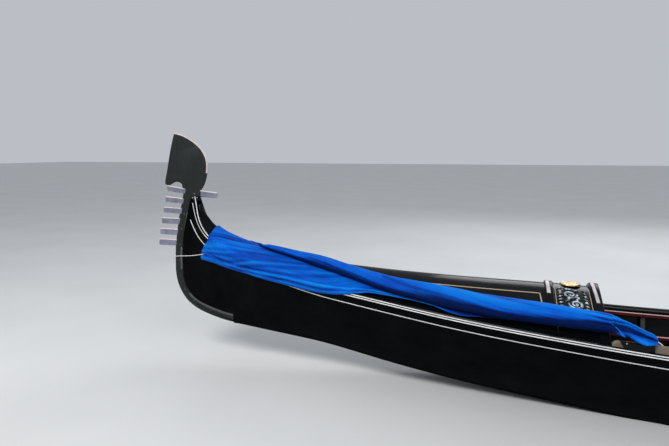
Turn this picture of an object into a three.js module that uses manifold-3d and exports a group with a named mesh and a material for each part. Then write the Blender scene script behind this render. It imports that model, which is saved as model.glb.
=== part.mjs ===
// Gondola: a long, black, flat-bottomed rowing boat with an asymmetric hull, lying afloat.
// Millimetres. +X towards the bow, +Y to port, +Z up. Origin on the waterline, amidships, in the
// plane of the stem and the stern post.
import * as THREE from "three";
import { mergeVertices } from "three/addons/utils/BufferGeometryUtils.js";
import Module from "manifold-3d";

const wasm = await Module();
wasm.setup();

// ---------------------------------------------------------------- driving dimensions
const PLANK = 14; // thickness of the side planking
const BOTTOM = 18; // thickness of the bottom planking
const GAP = 0.5; // joint between two fitted pieces
const RAIL_HIGH = 20; // gunwale, measured square to the sheer
const RAIL_IN = 30; // gunwale, inwards from the hull's outer face
const RAIL_OUT = 5; // gunwale, proud of the hull's outer face
const DECK = 12; // thickness of the decks
const POST_HALF = 21; // half the width of the stem and stern timbers
const IRON_HALF = 6; // half the thickness of the bow iron
const CROWN_POWER = 1.27; // 1 is a straight roof, 2 a round arch
const CROWN_SOFT = 0.12; // rounding of the deck's ridge, as a share of the half-breadth
const BEAM_RAISE = 7; // cross beams, proud of the deck
const CREST_LIFT = { fore: 9, end: 22 }; // more along the crest, fading to the sides
const FLOOR_UP = 60; // floorboards' underside above the bottom's outer face
const FLOOR = 14; // thickness of the floorboards
const DOOR = { y0: -155, y1: 155, z0: 135, z1: 440, gap: 5, thick: 16, swing: 100 };
const FORE_BULKHEAD_X = 2455; // aft face of the bow bulkhead
const AFT_BULKHEAD_X = -2915; // fore face of the stern bulkhead
const BULKHEAD = 18;
const STRINGER = { below: 165, off: 48, wide: 22, high: 24 }; // below the sheer, in from the planks

// Body of the hull, bow to stern: x, half-breadth of the gunwale to port and starboard, half-breadth
// of the bottom to port and starboard, height of the sheer, of the bottom's outer face, of the ridge
const BODY = [
  [4750, 222, 192, 40, 38, 803, 243, 872],
  [4250, 300, 243, 90, 78, 692, 203, 793],
  [3750, 385, 298, 152, 130, 630, 133, 757],
  [3250, 460, 347, 207, 175, 575, 73, 740],
  [2745, 523, 388, 262, 220, 535, 34, 730],
  [2150, 589, 434, 322, 262, 500, -10, 700],
  [1450, 660, 484, 390, 310, 477, -55, 600],
  [700, 735, 533, 450, 355, 461, -95, 560],
  [0, 796, 575, 487, 385, 454, -120, 550],
  [-700, 823, 594, 500, 395, 454, -130, 550],
  [-1400, 812, 586, 490, 388, 462, -125, 560],
  [-2100, 765, 550, 455, 355, 485, -95, 600],
  [-2800, 675, 485, 385, 300, 530, -40, 670],
  [-3400, 565, 408, 295, 232, 600, 45, 745],
  [-4000, 425, 315, 180, 145, 715, 180, 845],
  [-4500, 285, 225, 75, 65, 868, 335, 965],
];
// Bow and stern, sections that lean: gunwale x, y port, y starboard, z; bottom x, y, z; ridge x, z
const BOW = [
  [5287, 36, 36, 1245, 4990, 36, 266, 5276, 1226],
  [5271, 46, 46, 1180, 4976, 37, 266, 5262, 1186],
  [5250, 62, 61, 1100, 4955, 37, 265, 5236, 1128],
  [5212, 84, 82, 1030, 4930, 38, 263, 5198, 1082],
  [5152, 107, 103, 966, 4900, 38, 260, 5148, 1028],
  [5068, 133, 125, 914, 4865, 39, 256, 5060, 974],
  [4950, 166, 150, 864, 4820, 39, 251, 4950, 929],
];
const STERN = [
  [-4700, 225, 185, 940, -4600, 62, 378, -4700, 1020],
  [-4900, 158, 138, 1030, -4680, 52, 412, -4900, 1090],
  [-5060, 96, 90, 1110, -4740, 43, 438, -5060, 1150],
  [-5172, 36, 36, 1190, -4780, 36, 455, -5170, 1196],
];
// Face of the stem and of the stern post where the planks end: x, z, from the bottom to the sheer
const STEM = [[4990, 266], [5268, 378], [5388, 512], [5433, 700], [5408, 930], [5331, 1245]];
const STERN_POST = [[-4780, 455], [-4945, 560], [-5060, 690], [-5135, 850], [-5172, 1020], [-5190, 1190]];

// The stations that every lengthwise piece shares, so that their joints stay even
const STATIONS = [
  4750, 4500, 4250, 4000, 3750, 3500, 3250, 3000, 2745, 2695, 2475, 2420, 2150, 1800, 1450, 1100, 700, 350, 0,
  -350, -700, -1050, -1400, -1750, -2100, -2450, -2800, -2860, -2920, -3150, -3400, -3700, -4000, -4250, -4500,
];

// ---------------------------------------------------------------- curves
// A monotone cubic through a table's rows, which are in falling order of their first column
function curve(rows, col) {
  const x = rows.map((r) => -r[0]), y = rows.map((r) => r[col]), n = x.length;
  const d = [], m = new Array(n).fill(0);
  for (let i = 0; i < n - 1; i++) d.push((y[i + 1] - y[i]) / (x[i + 1] - x[i]));
  m[0] = d[0];
  m[n - 1] = d[n - 2];
  for (let i = 1; i < n - 1; i++) {
    if (d[i - 1] * d[i] <= 0) continue;
    const h0 = x[i] - x[i - 1], h1 = x[i + 1] - x[i], a = 2 * h1 + h0, b = h1 + 2 * h0;
    m[i] = (a + b) / (a / d[i - 1] + b / d[i]);
  }
  return (at) => {
    const q = Math.min(Math.max(-at, x[0]), x[n - 1]);
    let i = 0;
    while (i < n - 2 && q > x[i + 1]) i++;
    const h = x[i + 1] - x[i], t = (q - x[i]) / h, t2 = t * t, t3 = t2 * t;
    return (2 * t3 - 3 * t2 + 1) * y[i] + (t3 - 2 * t2 + t) * h * m[i] + (3 * t2 - 2 * t3) * y[i + 1] + (t3 - t2) * h * m[i + 1];
  };
}
const [portAt, starAt, chineP, chineS, sheerAt, keelAt, ridgeAt] = [1, 2, 3, 4, 5, 6, 7].map((c) => curve(BODY, c));

// Every section of the hull, bow to stern: sheer point and bottom point on each side, and the ridge
const ribs = [
  ...BOW.map((r) => ({ rail: [r[0], r[1], r[2], r[3]], chine: [r[4], r[5], r[5], r[6]], ridge: [r[7], r[8]] })),
  ...STATIONS.map((x) => ({
    rail: [x, portAt(x), starAt(x), sheerAt(x)],
    chine: [x, chineP(x), chineS(x), keelAt(x)],
    ridge: [x, ridgeAt(x)],
  })),
  ...STERN.map((r) => ({ rail: [r[0], r[1], r[2], r[3]], chine: [r[4], r[5], r[5], r[6]], ridge: [r[7], r[8]] })),
];
const FIRST = BOW.length, LAST = BOW.length + STATIONS.length - 1;
const at = (x) => FIRST + STATIONS.indexOf(x);
// Square to the sheer, up and away from the hull, in the X-Z plane
ribs.forEach((r, i) => {
  const a = ribs[Math.max(i - 1, 0)].rail, b = ribs[Math.min(i + 1, ribs.length - 1)].rail;
  const tx = a[0] - b[0], tz = a[3] - b[3], l = Math.hypot(tx, tz);
  r.up = [-tz / l, tx / l];
});
const lerp = (a, b, t) => a + (b - a) * t;
const along = (line, v) => {
  const s = v * (line.length - 1), i = Math.min(Math.floor(s), line.length - 2);
  return [lerp(line[i][0], line[i + 1][0], s - i), lerp(line[i][1], line[i + 1][1], s - i)];
};

// A point of the outer face of the planking: section i, height share v from the bottom to the sheer,
// side +1 port or -1 starboard
function skin(i, v, side) {
  const r = ribs[i], c = side > 0 ? 1 : 2;
  const top = [r.rail[0], r.rail[c], r.rail[3]], low = [r.chine[0], r.chine[c], r.chine[3]];
  const straight = (T, L, w) => [lerp(L[0], T[0], w), lerp(L[1], T[1], w) + 0.24 * w * (1 - w) * (T[1] - L[1]), lerp(L[2], T[2], w)];
  let p = straight(top, low, v);
  const end = i < FIRST ? [STEM, FIRST, 0] : i > LAST ? [STERN_POST, LAST, ribs.length - 1] : null;
  if (end) {
    // between the last upright section and the post the faces follow the post's curve
    const t = (i - end[1]) / (end[2] - end[1]), post = along(end[0], v);
    const e = ribs[end[2]], eT = [end[0][5][0], 0, end[0][5][1]], eL = [e.chine[0], 0, e.chine[3]];
    const w = Math.pow(t, 1.6), chord = [lerp(eL[0], eT[0], v), lerp(eL[2], eT[2], v)];
    p[0] += w * (post[0] - chord[0]) + (i === end[2] ? v * (eT[0] - e.rail[0]) : 0);
    p[2] += w * (post[1] - chord[1]);
  }
  return [p[0], side * p[1], p[2]];
}
const depth = (i) => ribs[i].rail[3] - ribs[i].chine[3];
const crown = (u) => {
  const e = CROWN_SOFT ** 2, p = CROWN_POWER / 2, z = Math.pow(e, p);
  return (Math.pow(u * u + e, p) - z) / (Math.pow(1 + e, p) - z);
};
// A point of the deck's upper face: section i, u from -1 at the starboard edge to +1 at the port edge
function deckAt(i, u, raise = 0, inset = RAIL_IN + GAP) {
  const r = ribs[i], half = Math.max((u > 0 ? r.rail[1] : r.rail[2]) - inset, 8), c = crown(Math.abs(u));
  const ex = r.rail[0] - 2 * r.up[0], ez = r.rail[3] - 2 * r.up[1];
  return [lerp(r.ridge[0], ex, c) + raise * r.up[0], u * half, lerp(r.ridge[1], ez, c) + raise * r.up[1]];
}
// Inner face of the planking at height z on an upright section x
function innerY(x, z, side) {
  const b = side > 0 ? portAt(x) : starAt(x), c = side > 0 ? chineP(x) : chineS(x);
  const v = Math.min(Math.max((z - keelAt(x)) / (sheerAt(x) - keelAt(x)), 0), 1);
  return c + (b - c) * v + 0.24 * v * (1 - v) * (b - c) - PLANK;
}

// ---------------------------------------------------------------- solids
const root = new THREE.Group();
const COLOURS = {
  black: [0x0b0b0d, 0.22, 0], iron: [0x3c4044, 0.42, 0.85], rail: [0x101012, 0.25, 0], wood: [0x9a7a52, 0.6, 0],
  pale: [0xd8c8c4, 0.5, 0], brass: [0xc79a3a, 0.35, 0.9], blue: [0x0c3fd0, 0.8, 0], red: [0x6a1014, 0.5, 0],
  white: [0xe8e6e0, 0.8, 0], hide: [0x16120f, 0.5, 0], walnut: [0x5b3a20, 0.5, 0], boards: [0x6f5a42, 0.7, 0],
};
function put(name, geometry, colour) {
  const [color, roughness, metalness] = COLOURS[colour];
  const mesh = new THREE.Mesh(geometry, new THREE.MeshStandardMaterial({ color, roughness, metalness }));
  mesh.name = name;
  root.add(mesh);
  return mesh;
}
function volume(p, f) {
  let v = 0;
  for (const [a, b, c] of f) {
    const [A, B, C] = [p[a], p[b], p[c]];
    v += A[0] * (B[1] * C[2] - B[2] * C[1]) + A[1] * (B[2] * C[0] - B[0] * C[2]) + A[2] * (B[0] * C[1] - B[1] * C[0]);
  }
  return v / 6;
}
function meshOf(points, faces) {
  if (volume(points, faces) < 0) faces = faces.map(([a, b, c]) => [a, c, b]);
  const g = new THREE.BufferGeometry();
  g.setAttribute("position", new THREE.Float32BufferAttribute(points.flat(), 3));
  g.setIndex(faces.flat());
  return g;
}
// Closed skin over rings of points, each ring a closed outline with the same count; flat is the pair
// of coordinates that the end outlines are seen in
function loft(rings, flat = [1, 2]) {
  const n = rings[0].length, points = rings.flat(), faces = [];
  for (let i = 0; i < rings.length - 1; i++)
    for (let j = 0; j < n; j++) {
      const a = i * n + j, b = i * n + ((j + 1) % n), c = a + n, d = b + n;
      faces.push([a, b, d], [a, d, c]);
    }
  const cap = (ring, base, turn) => {
    const flatRing = ring.map((p) => new THREE.Vector2(p[flat[0]], p[flat[1]]));
    const cw = THREE.ShapeUtils.isClockWise(flatRing);
    for (const t of THREE.ShapeUtils.triangulateShape(cw ? flatRing.slice().reverse() : flatRing, [])) {
      const k = cw ? t.map((q) => base + (n - 1 - q)).reverse() : t.map((q) => base + q);
      faces.push(turn ? k.reverse() : k);
    }
  };
  cap(rings[0], 0, true);
  cap(rings[rings.length - 1], (rings.length - 1) * n, false);
  return meshOf(points, faces);
}
const solid = (g) => {
  const c = g.index ? g.clone() : g.clone();
  c.deleteAttribute("normal");
  c.deleteAttribute("uv");
  const m = mergeVertices(c, 1e-3);
  return new wasm.Manifold(new wasm.Mesh({ numProp: 3, vertProperties: m.attributes.position.array, triVerts: new Uint32Array(m.index.array) }));
};
const geometry = (s) => {
  const m = s.getMesh(), g = new THREE.BufferGeometry(), v = [];
  for (let i = 0; i < m.numVert; i++) v.push(...m.vertProperties.subarray(i * m.numProp, i * m.numProp + 3));
  g.setAttribute("position", new THREE.Float32BufferAttribute(v, 3));
  g.setIndex(Array.from(m.triVerts));
  return g;
};
const join = (...parts) => geometry(parts.map((g) => solid(g)).reduce((a, b) => a.add(b)));
const cut = (from, ...parts) => geometry(parts.map((g) => solid(g)).reduce((a, b) => a.subtract(b), solid(from)));
const box = (x0, x1, y0, y1, z0, z1) =>
  new THREE.BoxGeometry(Math.abs(x1 - x0), Math.abs(y1 - y0), Math.abs(z1 - z0)).translate((x0 + x1) / 2, (y0 + y1) / 2, (z0 + z1) / 2);
// Plate with an outline drawn in X-Z, between two values of y
function plateXZ(outline, y0, y1) {
  const g = new THREE.ExtrudeGeometry(new THREE.Shape(outline.map((p) => new THREE.Vector2(p[0], p[1]))), { depth: y1 - y0, bevelEnabled: false });
  return g.rotateX(Math.PI / 2).translate(0, y1, 0);
}
// Plate with an outline drawn in Y-Z, between two values of x
function plateYZ(outline, x0, x1, holes = []) {
  const ring = (x) => outline.map((p) => [x, p[0], p[1]]);
  const g = loft([ring(x0), ring(x1)]);
  return holes.length ? cut(g, ...holes) : g;
}
function tube(points, radius, steps, sides = 8) {
  const path = new THREE.CatmullRomCurve3(points.map((p) => new THREE.Vector3(...p)));
  const ring = [...Array(sides).keys()].map((k) => new THREE.Vector2(radius * Math.cos((2 * Math.PI * k) / sides), radius * Math.sin((2 * Math.PI * k) / sides)));
  return new THREE.ExtrudeGeometry(new THREE.Shape(ring), { steps, extrudePath: path, bevelEnabled: false });
}

// ---------------------------------------------------------------- hull
const all = ribs.map((_, i) => i);
for (const [name, side] of [["hull_port_side", 1], ["hull_starboard_side", -1]]) {
  const rings = all.map((i) => {
    const r = ribs[i], c = side > 0 ? 1 : 2, under = RAIL_HIGH + GAP;
    const low = [r.chine[0], skin(i, (BOTTOM + GAP) / depth(i), side)[1], r.chine[3] + BOTTOM + GAP];
    const top = i ? [r.rail[0] - under * r.up[0], side * r.rail[c], r.rail[3] - under * r.up[1]] : [STEM[5][0], side * r.rail[c], STEM[5][1] - under];
    const outer = [low, ...[0.09, 0.2, 0.4, 0.6, 0.8].map((v) => skin(i, v, side)), top];
    const inner = outer.map((p) => [p[0], p[1] - side * PLANK, p[2]]);
    return [...outer, ...inner.reverse()];
  });
  put(name, loft(rings), "black");
}
// The bottom is butted together from five lengths: name, first and last section
const BOTTOMS = [
  ["bow_bottom", 0, at(2475)], ["fore_bottom", at(2475), at(700)], ["middle_bottom", at(700), at(-1400)],
  ["aft_bottom", at(-1400), at(-2860)], ["stern_bottom", at(-2860), ribs.length - 1],
];
for (const [name, a, b] of BOTTOMS)
  put(name, loft(all.slice(a, b + 1).map((i, k, l) => {
    const [x0, p, s, z] = ribs[i].chine, x = x0 - (k === 0 && a ? GAP / 2 : k === l.length - 1 && b < ribs.length - 1 ? -GAP / 2 : 0);
    return [[x, p, z], [x, p, z + BOTTOM], [x, -s, z + BOTTOM], [x, -s, z]];
  })), "black");

for (const [name, side] of [["port_gunwale", 1], ["starboard_gunwale", -1]]) {
  put(name, loft(all.map((i) => {
    const r = ribs[i], b = r.rail[side > 0 ? 1 : 2], y0 = b + RAIL_OUT, y1 = Math.max(b - RAIL_IN, POST_HALF + 1.5);
    const low = [r.rail[0] - RAIL_HIGH * r.up[0], r.rail[3] - RAIL_HIGH * r.up[1]];
    return [[r.rail[0], side * y0, r.rail[3]], [r.rail[0], side * y1, r.rail[3]], [low[0], side * y1, low[1]], [low[0], side * y0, low[1]]];
  })), "rail");
}

// Stem and stern timbers, from the planks' ends inwards
const STEM_DEEP = 42;
const stemOuter = [[4990, 268], [5117, 313], [5205, 347], [5294, 391], [5365, 453], [5407, 524], [5431, 605], [5436, 690], [5427, 794], [5415, 898], [5387, 1037], [5359, 1153], [5338, 1228]];
const stemInner = [[5276, 1228], [5296, 1175], [5318, 1150], [5346, 1037], [5374, 898], [5386, 794], [5394, 690], [5390, 612], [5368, 546], [5332, 488], [5270, 438], [5188, 396], [5103, 366], [4990, 330]];
put("stem_post", plateXZ([...stemOuter, ...stemInner], -POST_HALF, POST_HALF), "black");
const sternOuter = STERN_POST.map(([x, z]) => [x - 2, z]), sternInner = STERN_POST.map(([x, z], k) => [x + STEM_DEEP - 4 * k, z + 18 - 3 * k]).reverse();
sternInner.pop();
put("stern_post", plateXZ([...sternOuter, [-5190, 1204], [-5150, 1204], ...sternInner.slice(1), [-4740, 478], [-4782, 476]], -POST_HALF, POST_HALF), "black");

// ---------------------------------------------------------------- bow iron and stern iron
// Outline in X-Z: the axe head, the notch under it, six teeth, the band down the stem, and the
// tooth that points aft. Teeth: root top, tip top, tip bottom, root bottom
const TEETH = [
  [5403, 1303, 5550, 1324, 5552, 1281, 5409, 1263],
  [5419, 1226, 5568, 1237, 5571, 1194, 5428, 1183],
  [5438, 1147, 5589, 1153, 5592, 1109, 5449, 1102],
  [5457, 1067, 5610, 1069, 5613, 1021, 5466, 1020],
  [5474, 980, 5627, 983, 5630, 934, 5481, 931],
  [5487, 896, 5640, 897, 5644, 846, 5494, 848],
];
const HEAD_FRONT = [[5471, 1731], [5495, 1653], [5527, 1526], [5551, 1419], [5567, 1358], [5566, 1332], [5546, 1326], [5525, 1328], [5503, 1341], [5477, 1351], [5447, 1351], [5419, 1335]];
const BAND_OUT = [[5499, 762], [5501, 690], [5499, 617], [5481, 537], [5446, 464], [5394, 402], [5332, 359], [5251, 323], [5162, 296], [5073, 275], [4994, 264]];
const BAND_IN = [[5117, 311], [5205, 345], [5295, 389], [5367, 451], [5409, 523], [5433, 604], [5438, 690], [5429, 794], [5417, 898], [5389, 1037], [5361, 1153], [5341, 1229]];
const HEAD_BACK = [[5268, 1240], [5123, 1231], [5113, 1275], [5259, 1290], [5237, 1319], [5214, 1370], [5201, 1423], [5195, 1476], [5202, 1534], [5235, 1599], [5286, 1649], [5343, 1686], [5417, 1719]];
const teeth = TEETH.flatMap((t) => [[t[0], t[1]], [t[2], t[3]], [t[4], t[5]], [t[6], t[7]]]);
put("bow_iron", plateXZ([...HEAD_FRONT, ...teeth, ...BAND_OUT, ...BAND_IN, [5341, 1234], ...HEAD_BACK], -IRON_HALF, IRON_HALF), "iron");
put("stern_iron", plateXZ([
  [-4950, 556], [-5066, 688], [-5142, 850], [-5179, 1020], [-5196, 1190], [-5198, 1207], [-5150, 1208], [-5158, 1238], [-5182, 1270], [-5212, 1290],
  [-5236, 1284], [-5240, 1262], [-5230, 1240], [-5222, 1190], [-5204, 1020], [-5166, 845], [-5086, 675], [-4962, 536],
], -IRON_HALF, IRON_HALF), "iron");

// ---------------------------------------------------------------- decks
const US = [-1, -0.8, -0.55, -0.3, -0.12, 0, 0.12, 0.3, 0.55, 0.8, 1];
const deckPiece = (list, raise, thick, ends = [0, 0], lift = 0) => loft(list.map((i, k) => {
  const shift = k === 0 ? ends[0] : k === list.length - 1 ? ends[1] : 0;
  const top = US.map((u) => deckAt(i, u, raise + lift * Math.pow(1 - Math.abs(u), 2.2))), low = top.map((p) => [p[0] - thick * ribs[i].up[0], p[1], p[2] - thick * ribs[i].up[1]]);
  return [...top, ...low.reverse()].map((p) => [p[0] + shift, p[1], p[2]]);
}));
const range = (a, b) => all.slice(a, b + 1);
put("foredeck", deckPiece(range(1, at(2745)), 0, DECK), "black");
put("fore_cross_beam", deckPiece([at(2745), at(2695)], BEAM_RAISE, DECK + 16, [-GAP, GAP], CREST_LIFT.fore), "black");
const MEDAL = { x: 2585, r: 56, thick: 8, boss: 3 }; // boss: its top above the panel
const crest = ridgeAt(MEDAL.x) + 4;
put("carved_deck_panel", join(deckPiece([at(2695), at(2475)], 4, DECK, [-GAP, GAP]),
  new THREE.CylinderGeometry(MEDAL.r + 5, MEDAL.r + 9, 20, 28).rotateX(Math.PI / 2).translate(MEDAL.x, 0, crest + MEDAL.boss - 10)), "black");
put("deck_medallion", new THREE.CylinderGeometry(MEDAL.r - 4, MEDAL.r, MEDAL.thick, 28).rotateX(Math.PI / 2).translate(MEDAL.x, 0, crest + MEDAL.boss + GAP + MEDAL.thick / 2), "brass");
put("foredeck_end_beam", deckPiece([at(2475), at(2420)], BEAM_RAISE, DECK + 24, [-GAP, 0], CREST_LIFT.end), "black");
put("stern_deck_beam", deckPiece([at(-2860), at(-2920)], BEAM_RAISE, DECK + 24, [0, GAP]), "black");
put("stern_deck", deckPiece(range(at(-2920), ribs.length - 2), 0, DECK, [-GAP, 0]), "black");

// ---------------------------------------------------------------- bulkheads and their doors
function bulkhead(x, beamDrop) {
  const zs = [0, 0.25, 0.5, 0.75, 1], low = keelAt(x) + BOTTOM + 3, high = sheerAt(x) - 38;
  const half = (side) => zs.map((k) => [side * (innerY(x, lerp(low, high, k), side) - 4), lerp(low, high, k)]);
  const arch = [0.8, 0.55, 0.3, 0, -0.3, -0.55, -0.8].map((u) => {
    const b = (u > 0 ? portAt(x) : starAt(x)) - RAIL_IN - 26;
    return [u * b, lerp(ridgeAt(x), sheerAt(x), crown(Math.abs(u))) - beamDrop];
  });
  return [...half(1), ...arch, ...half(-1).reverse()];
}
const doorHole = (x0, x1) => box(x0, x1, DOOR.y0 - DOOR.gap, DOOR.y1 + DOOR.gap, DOOR.z0 - DOOR.gap, DOOR.z1 + DOOR.gap);
put("bow_bulkhead", plateYZ(bulkhead(2475, 44), FORE_BULKHEAD_X, FORE_BULKHEAD_X + BULKHEAD, [doorHole(FORE_BULKHEAD_X - 30, FORE_BULKHEAD_X + 60)]), "red");
put("stern_bulkhead", plateYZ(bulkhead(-2920, 44), AFT_BULKHEAD_X - BULKHEAD, AFT_BULKHEAD_X, [doorHole(AFT_BULKHEAD_X - 60, AFT_BULKHEAD_X + 30)]), "red");
const doorLeaf = (x, d) => join(box(x, x + d * DOOR.thick, DOOR.y0, DOOR.y1, DOOR.z0, DOOR.z1), box(x - d * 18, x + d * 1, DOOR.y1 - 44, DOOR.y1 - 24, 275, 300));
put("bow_locker_door", doorLeaf(FORE_BULKHEAD_X, 1), "red");
put("stern_locker_door", doorLeaf(AFT_BULKHEAD_X, -1), "red");

// ---------------------------------------------------------------- inner rails, frames and floor
// The port rail carries a low coaming forward: x, height of its top above the sheer
const COAMING = [[2420, 32], [2150, 41], [1800, 41], [1450, 28], [1100, 8], [700, -2.2], [-2860, -2.2]];
const coamingAt = curve(COAMING, 1);
for (const [name, side] of [["port_inner_rail", 1], ["starboard_inner_rail", -1]]) {
  put(name, loft(range(at(2420), at(-2860)).map((i, k, l) => {
    const r = ribs[i], b = r.rail[side > 0 ? 1 : 2] - RAIL_IN, x = r.rail[0] - (k === 0 ? 1 : k === l.length - 1 ? -1 : 0), z = r.rail[3];
    const ridge = side > 0 ? [[b - GAP, z + coamingAt(r.rail[0])], [b - 30, z + coamingAt(r.rail[0])], [b - 30, z - 3]] : [[b - GAP, z - 3]];
    return [...ridge, [b - 62, z - 3], [b - 62, z - 23], [b - GAP, z - 23]].map(([y, h]) => [x, side * y, h]);
  })), side > 0 ? "wood" : "rail");
}
// Stringers along the frames' inner faces
for (const [name, side] of [["port_stringer", 1], ["starboard_stringer", -1]])
  put(name, loft(range(at(2420), at(-2860)).map((i, k, l) => {
    const x0 = ribs[i].rail[0], x = x0 - (k === 0 ? 12 : k === l.length - 1 ? -12 : 0), z = sheerAt(x0) - STRINGER.below, y = innerY(x0, z, side) - STRINGER.off;
    return [[x, side * y, z], [x, side * (y - STRINGER.wide), z], [x, side * (y - STRINGER.wide), z - STRINGER.high], [x, side * y, z - STRINGER.high]];
  })), "red");
// Outline of a frame at x: it follows the planks' inner faces and the bottom, thick deep
function frameRing(x, deep) {
  const low = keelAt(x) + BOTTOM + 3, high = sheerAt(x) - 30, zs = [0, 0.2, 0.5, 1].map((k) => lerp(low, high, k));
  const out = [...zs.map((z) => [innerY(x, z, 1) - 5, z]).reverse(), ...zs.map((z) => [-(innerY(x, z, -1) - 5), z])];
  const inn = [...zs.map((z, k) => [-(innerY(x, z, -1) - 5 - deep), k ? z : low + deep]), ];
  const inp = [...zs.map((z, k) => [innerY(x, z, 1) - 5 - deep, k ? z : low + deep])];
  return [...out, ...inn.reverse(), ...inp];
}
const FRAMES = [2050, 1450, 900, 350, -200, -750, -1250, -1800, -2300, -2700];
const frameSolids = FRAMES.map((x) => plateYZ(frameRing(x, 26), x - 14, x + 14));
const keelson = loft(range(at(2420), at(-2860)).map((i, k, l) => {
  const [x0, , , z] = ribs[i].chine, x = x0 - (k === 0 ? 30 : k === l.length - 1 ? -30 : 0);
  return [[x, 35, z + BOTTOM + 3], [x, 35, z + BOTTOM + 30], [x, -35, z + BOTTOM + 30], [x, -35, z + BOTTOM + 3]];
}));
put("frames", join(keelson, ...frameSolids), "boards");
const floorPiece = (x0, x1) => loft(range(at(x0), at(x1)).map((i, k, l) => {
  const [x, p, s, z] = ribs[i].chine, q = x - (k === 0 ? 20 : k === l.length - 1 ? -20 : 0);
  const a = p - 42, b = s - 42;
  return [[q, a, z + FLOOR_UP], [q, a, z + FLOOR_UP + FLOOR], [q, -b, z + FLOOR_UP + FLOOR], [q, -b, z + FLOOR_UP]];
}));
put("fore_floorboards", floorPiece(2420, 700), "boards");
put("middle_floorboards", floorPiece(700, -1400), "boards");
put("aft_floorboards", floorPiece(-1400, -2860), "boards");
const floorTop = (x) => keelAt(x) + FLOOR_UP + FLOOR;

// Thwarts: x, width, height of the top
const THWARTS = [["fore_thwart", 1640, 170, 395], ["middle_thwart", 480, 120, 385], ["aft_thwart", -2080, 190, 400]];
for (const [name, x, wide, z] of THWARTS) {
  const y = (q, side) => innerY(q, z - 24, side) - 38, x0 = x - wide / 2, x1 = x + wide / 2;
  put(name, loft([x0, x1].map((q) => [[q, y(q, 1), z], [q, -y(q, -1), z], [q, -y(q, -1), z - 24], [q, y(q, 1), z - 24]])), "wood");
}

// ---------------------------------------------------------------- blocks at the rails
// A block on the rail from x0 to x1: its fore end leans out over the rail, its aft end is cut
// slanting on the outboard side
const sideBoard = (x0, x1, side, wide, high, scoop, lean) => {
  const b = (x) => (side > 0 ? portAt(x) : starAt(x)) - 1, n = 10, top = [], rings = [];
  for (let k = 0; k <= n; k++) {
    const x = lerp(x0, x1, k / n), z = sheerAt(x) + 1.2, s = scoop * Math.pow(Math.max(0, 1 - (n - k) / 3.5), 1.5);
    const yo = b(x) - 6 - s, yi = b(x) - wide, foot = x - lean * Math.max(0, 1 - k / 4);
    const under = sheerAt(foot) + 1.2;
    rings.push([[foot, side * (b(foot) - 6 - s), under], [foot, side * (b(foot) - wide), under], [x, side * yi, z + high], [x, side * yo, z + high]]);
  }
  return loft(rings);
};
put("port_fore_rowlock_block", sideBoard(2386, 2213, 1, 28.5, 38, 14, 24), "black");

// ---------------------------------------------------------------- seats
const bench = (x0, x1, y0, y1, top) => {
  const low = Math.max(floorTop(x0), floorTop(x1), floorTop((x0 + x1) / 2)) + 3;
  return [cut(box(x0, x1, y0, y1, low, top), box(x0 + 16, x1 - 16, y0 + 16, y1 - 16, low - 10, top - 16)), low];
};
const pad = (x0, x1, y0, y1, z0, z1, r) => {
  const s = new THREE.Shape();
  const [a, b, c, d] = [x0 + 2, x1 - 2, y0 + 2, y1 - 2];
  s.moveTo(a + r, c); s.lineTo(b - r, c); s.quadraticCurveTo(b, c, b, c + r); s.lineTo(b, d - r); s.quadraticCurveTo(b, d, b - r, d);
  s.lineTo(a + r, d); s.quadraticCurveTo(a, d, a, d - r); s.lineTo(a, c + r); s.quadraticCurveTo(a, c, a + r, c);
  return new THREE.ExtrudeGeometry(s, { depth: z1 - z0, bevelEnabled: false, curveSegments: 3 }).translate(0, 0, z0);
};
put("port_side_bench", bench(-760, -60, 215, 470, 200)[0], "black");
put("port_bench_cushion", pad(-760, -60, 215, 470, 201, 261, 40), "hide");
put("starboard_side_bench", bench(-760, -60, -350, -115, 200)[0], "black");
put("starboard_bench_cushion", pad(-760, -60, -350, -115, 201, 261, 40), "hide");
put("main_seat_base", bench(-1640, -1120, -340, 470, 215)[0], "black");
put("main_seat_cushion", pad(-1590, -1120, -340, 470, 216, 291, 60), "red");
const backOutline = [[-380, 217], [510, 217], [525, 420], [505, 560], [440, 625], [330, 640], [220, 665], [150, 730], [65, 770], [-20, 730], [-90, 665], [-200, 640], [-310, 625], [-375, 560], [-395, 420]];
put("main_seat_backrest", loft([-1640, -1614].map((x) => backOutline.map((p) => [x - (p[1] - 217) * 0.12, p[0], p[1]]))), "black");
put("main_seat_back_cushion", loft([0, 1, 2].map((k) => {
  const t = [1, 26, 55][k], q = [0, 0, 26][k];
  return [[-300 + q, 300 + q], [430 - q, 300 + q], [440 - q, 420], [425 - q, 530 - q], [330, 590 - q], [-200, 590 - q], [-295 + q, 530 - q], [-310 + q, 420]].map((p) => [-1613 + t - (p[1] - 217) * 0.12, p[0], p[1]]);
})), "red");
put("footrest", bench(-420, -180, -80, 190, 40)[0], "black");

// Sea-horse ornaments on the inner rails: outline in X-Z, from the foot up
const HORSE = [[-45, 0], [45, 0], [45, 14], [16, 20], [30, 52], [26, 84], [8, 112], [20, 134], [46, 138], [50, 158], [26, 172], [10, 192], [-14, 186], [-32, 160], [-34, 124], [-18, 88], [-14, 56], [-26, 22], [-45, 14]];
for (const [name, side] of [["port_seahorse", 1], ["starboard_seahorse", -1]]) {
  const x = -930, y = (side > 0 ? portAt(x) : starAt(x)) - RAIL_IN - 34, z = sheerAt(x) - 0.4;
  put(name, plateXZ(HORSE.map((p) => [x + p[0], z + p[1]]), side * y - 9, side * y + 9), "brass");
}

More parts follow.
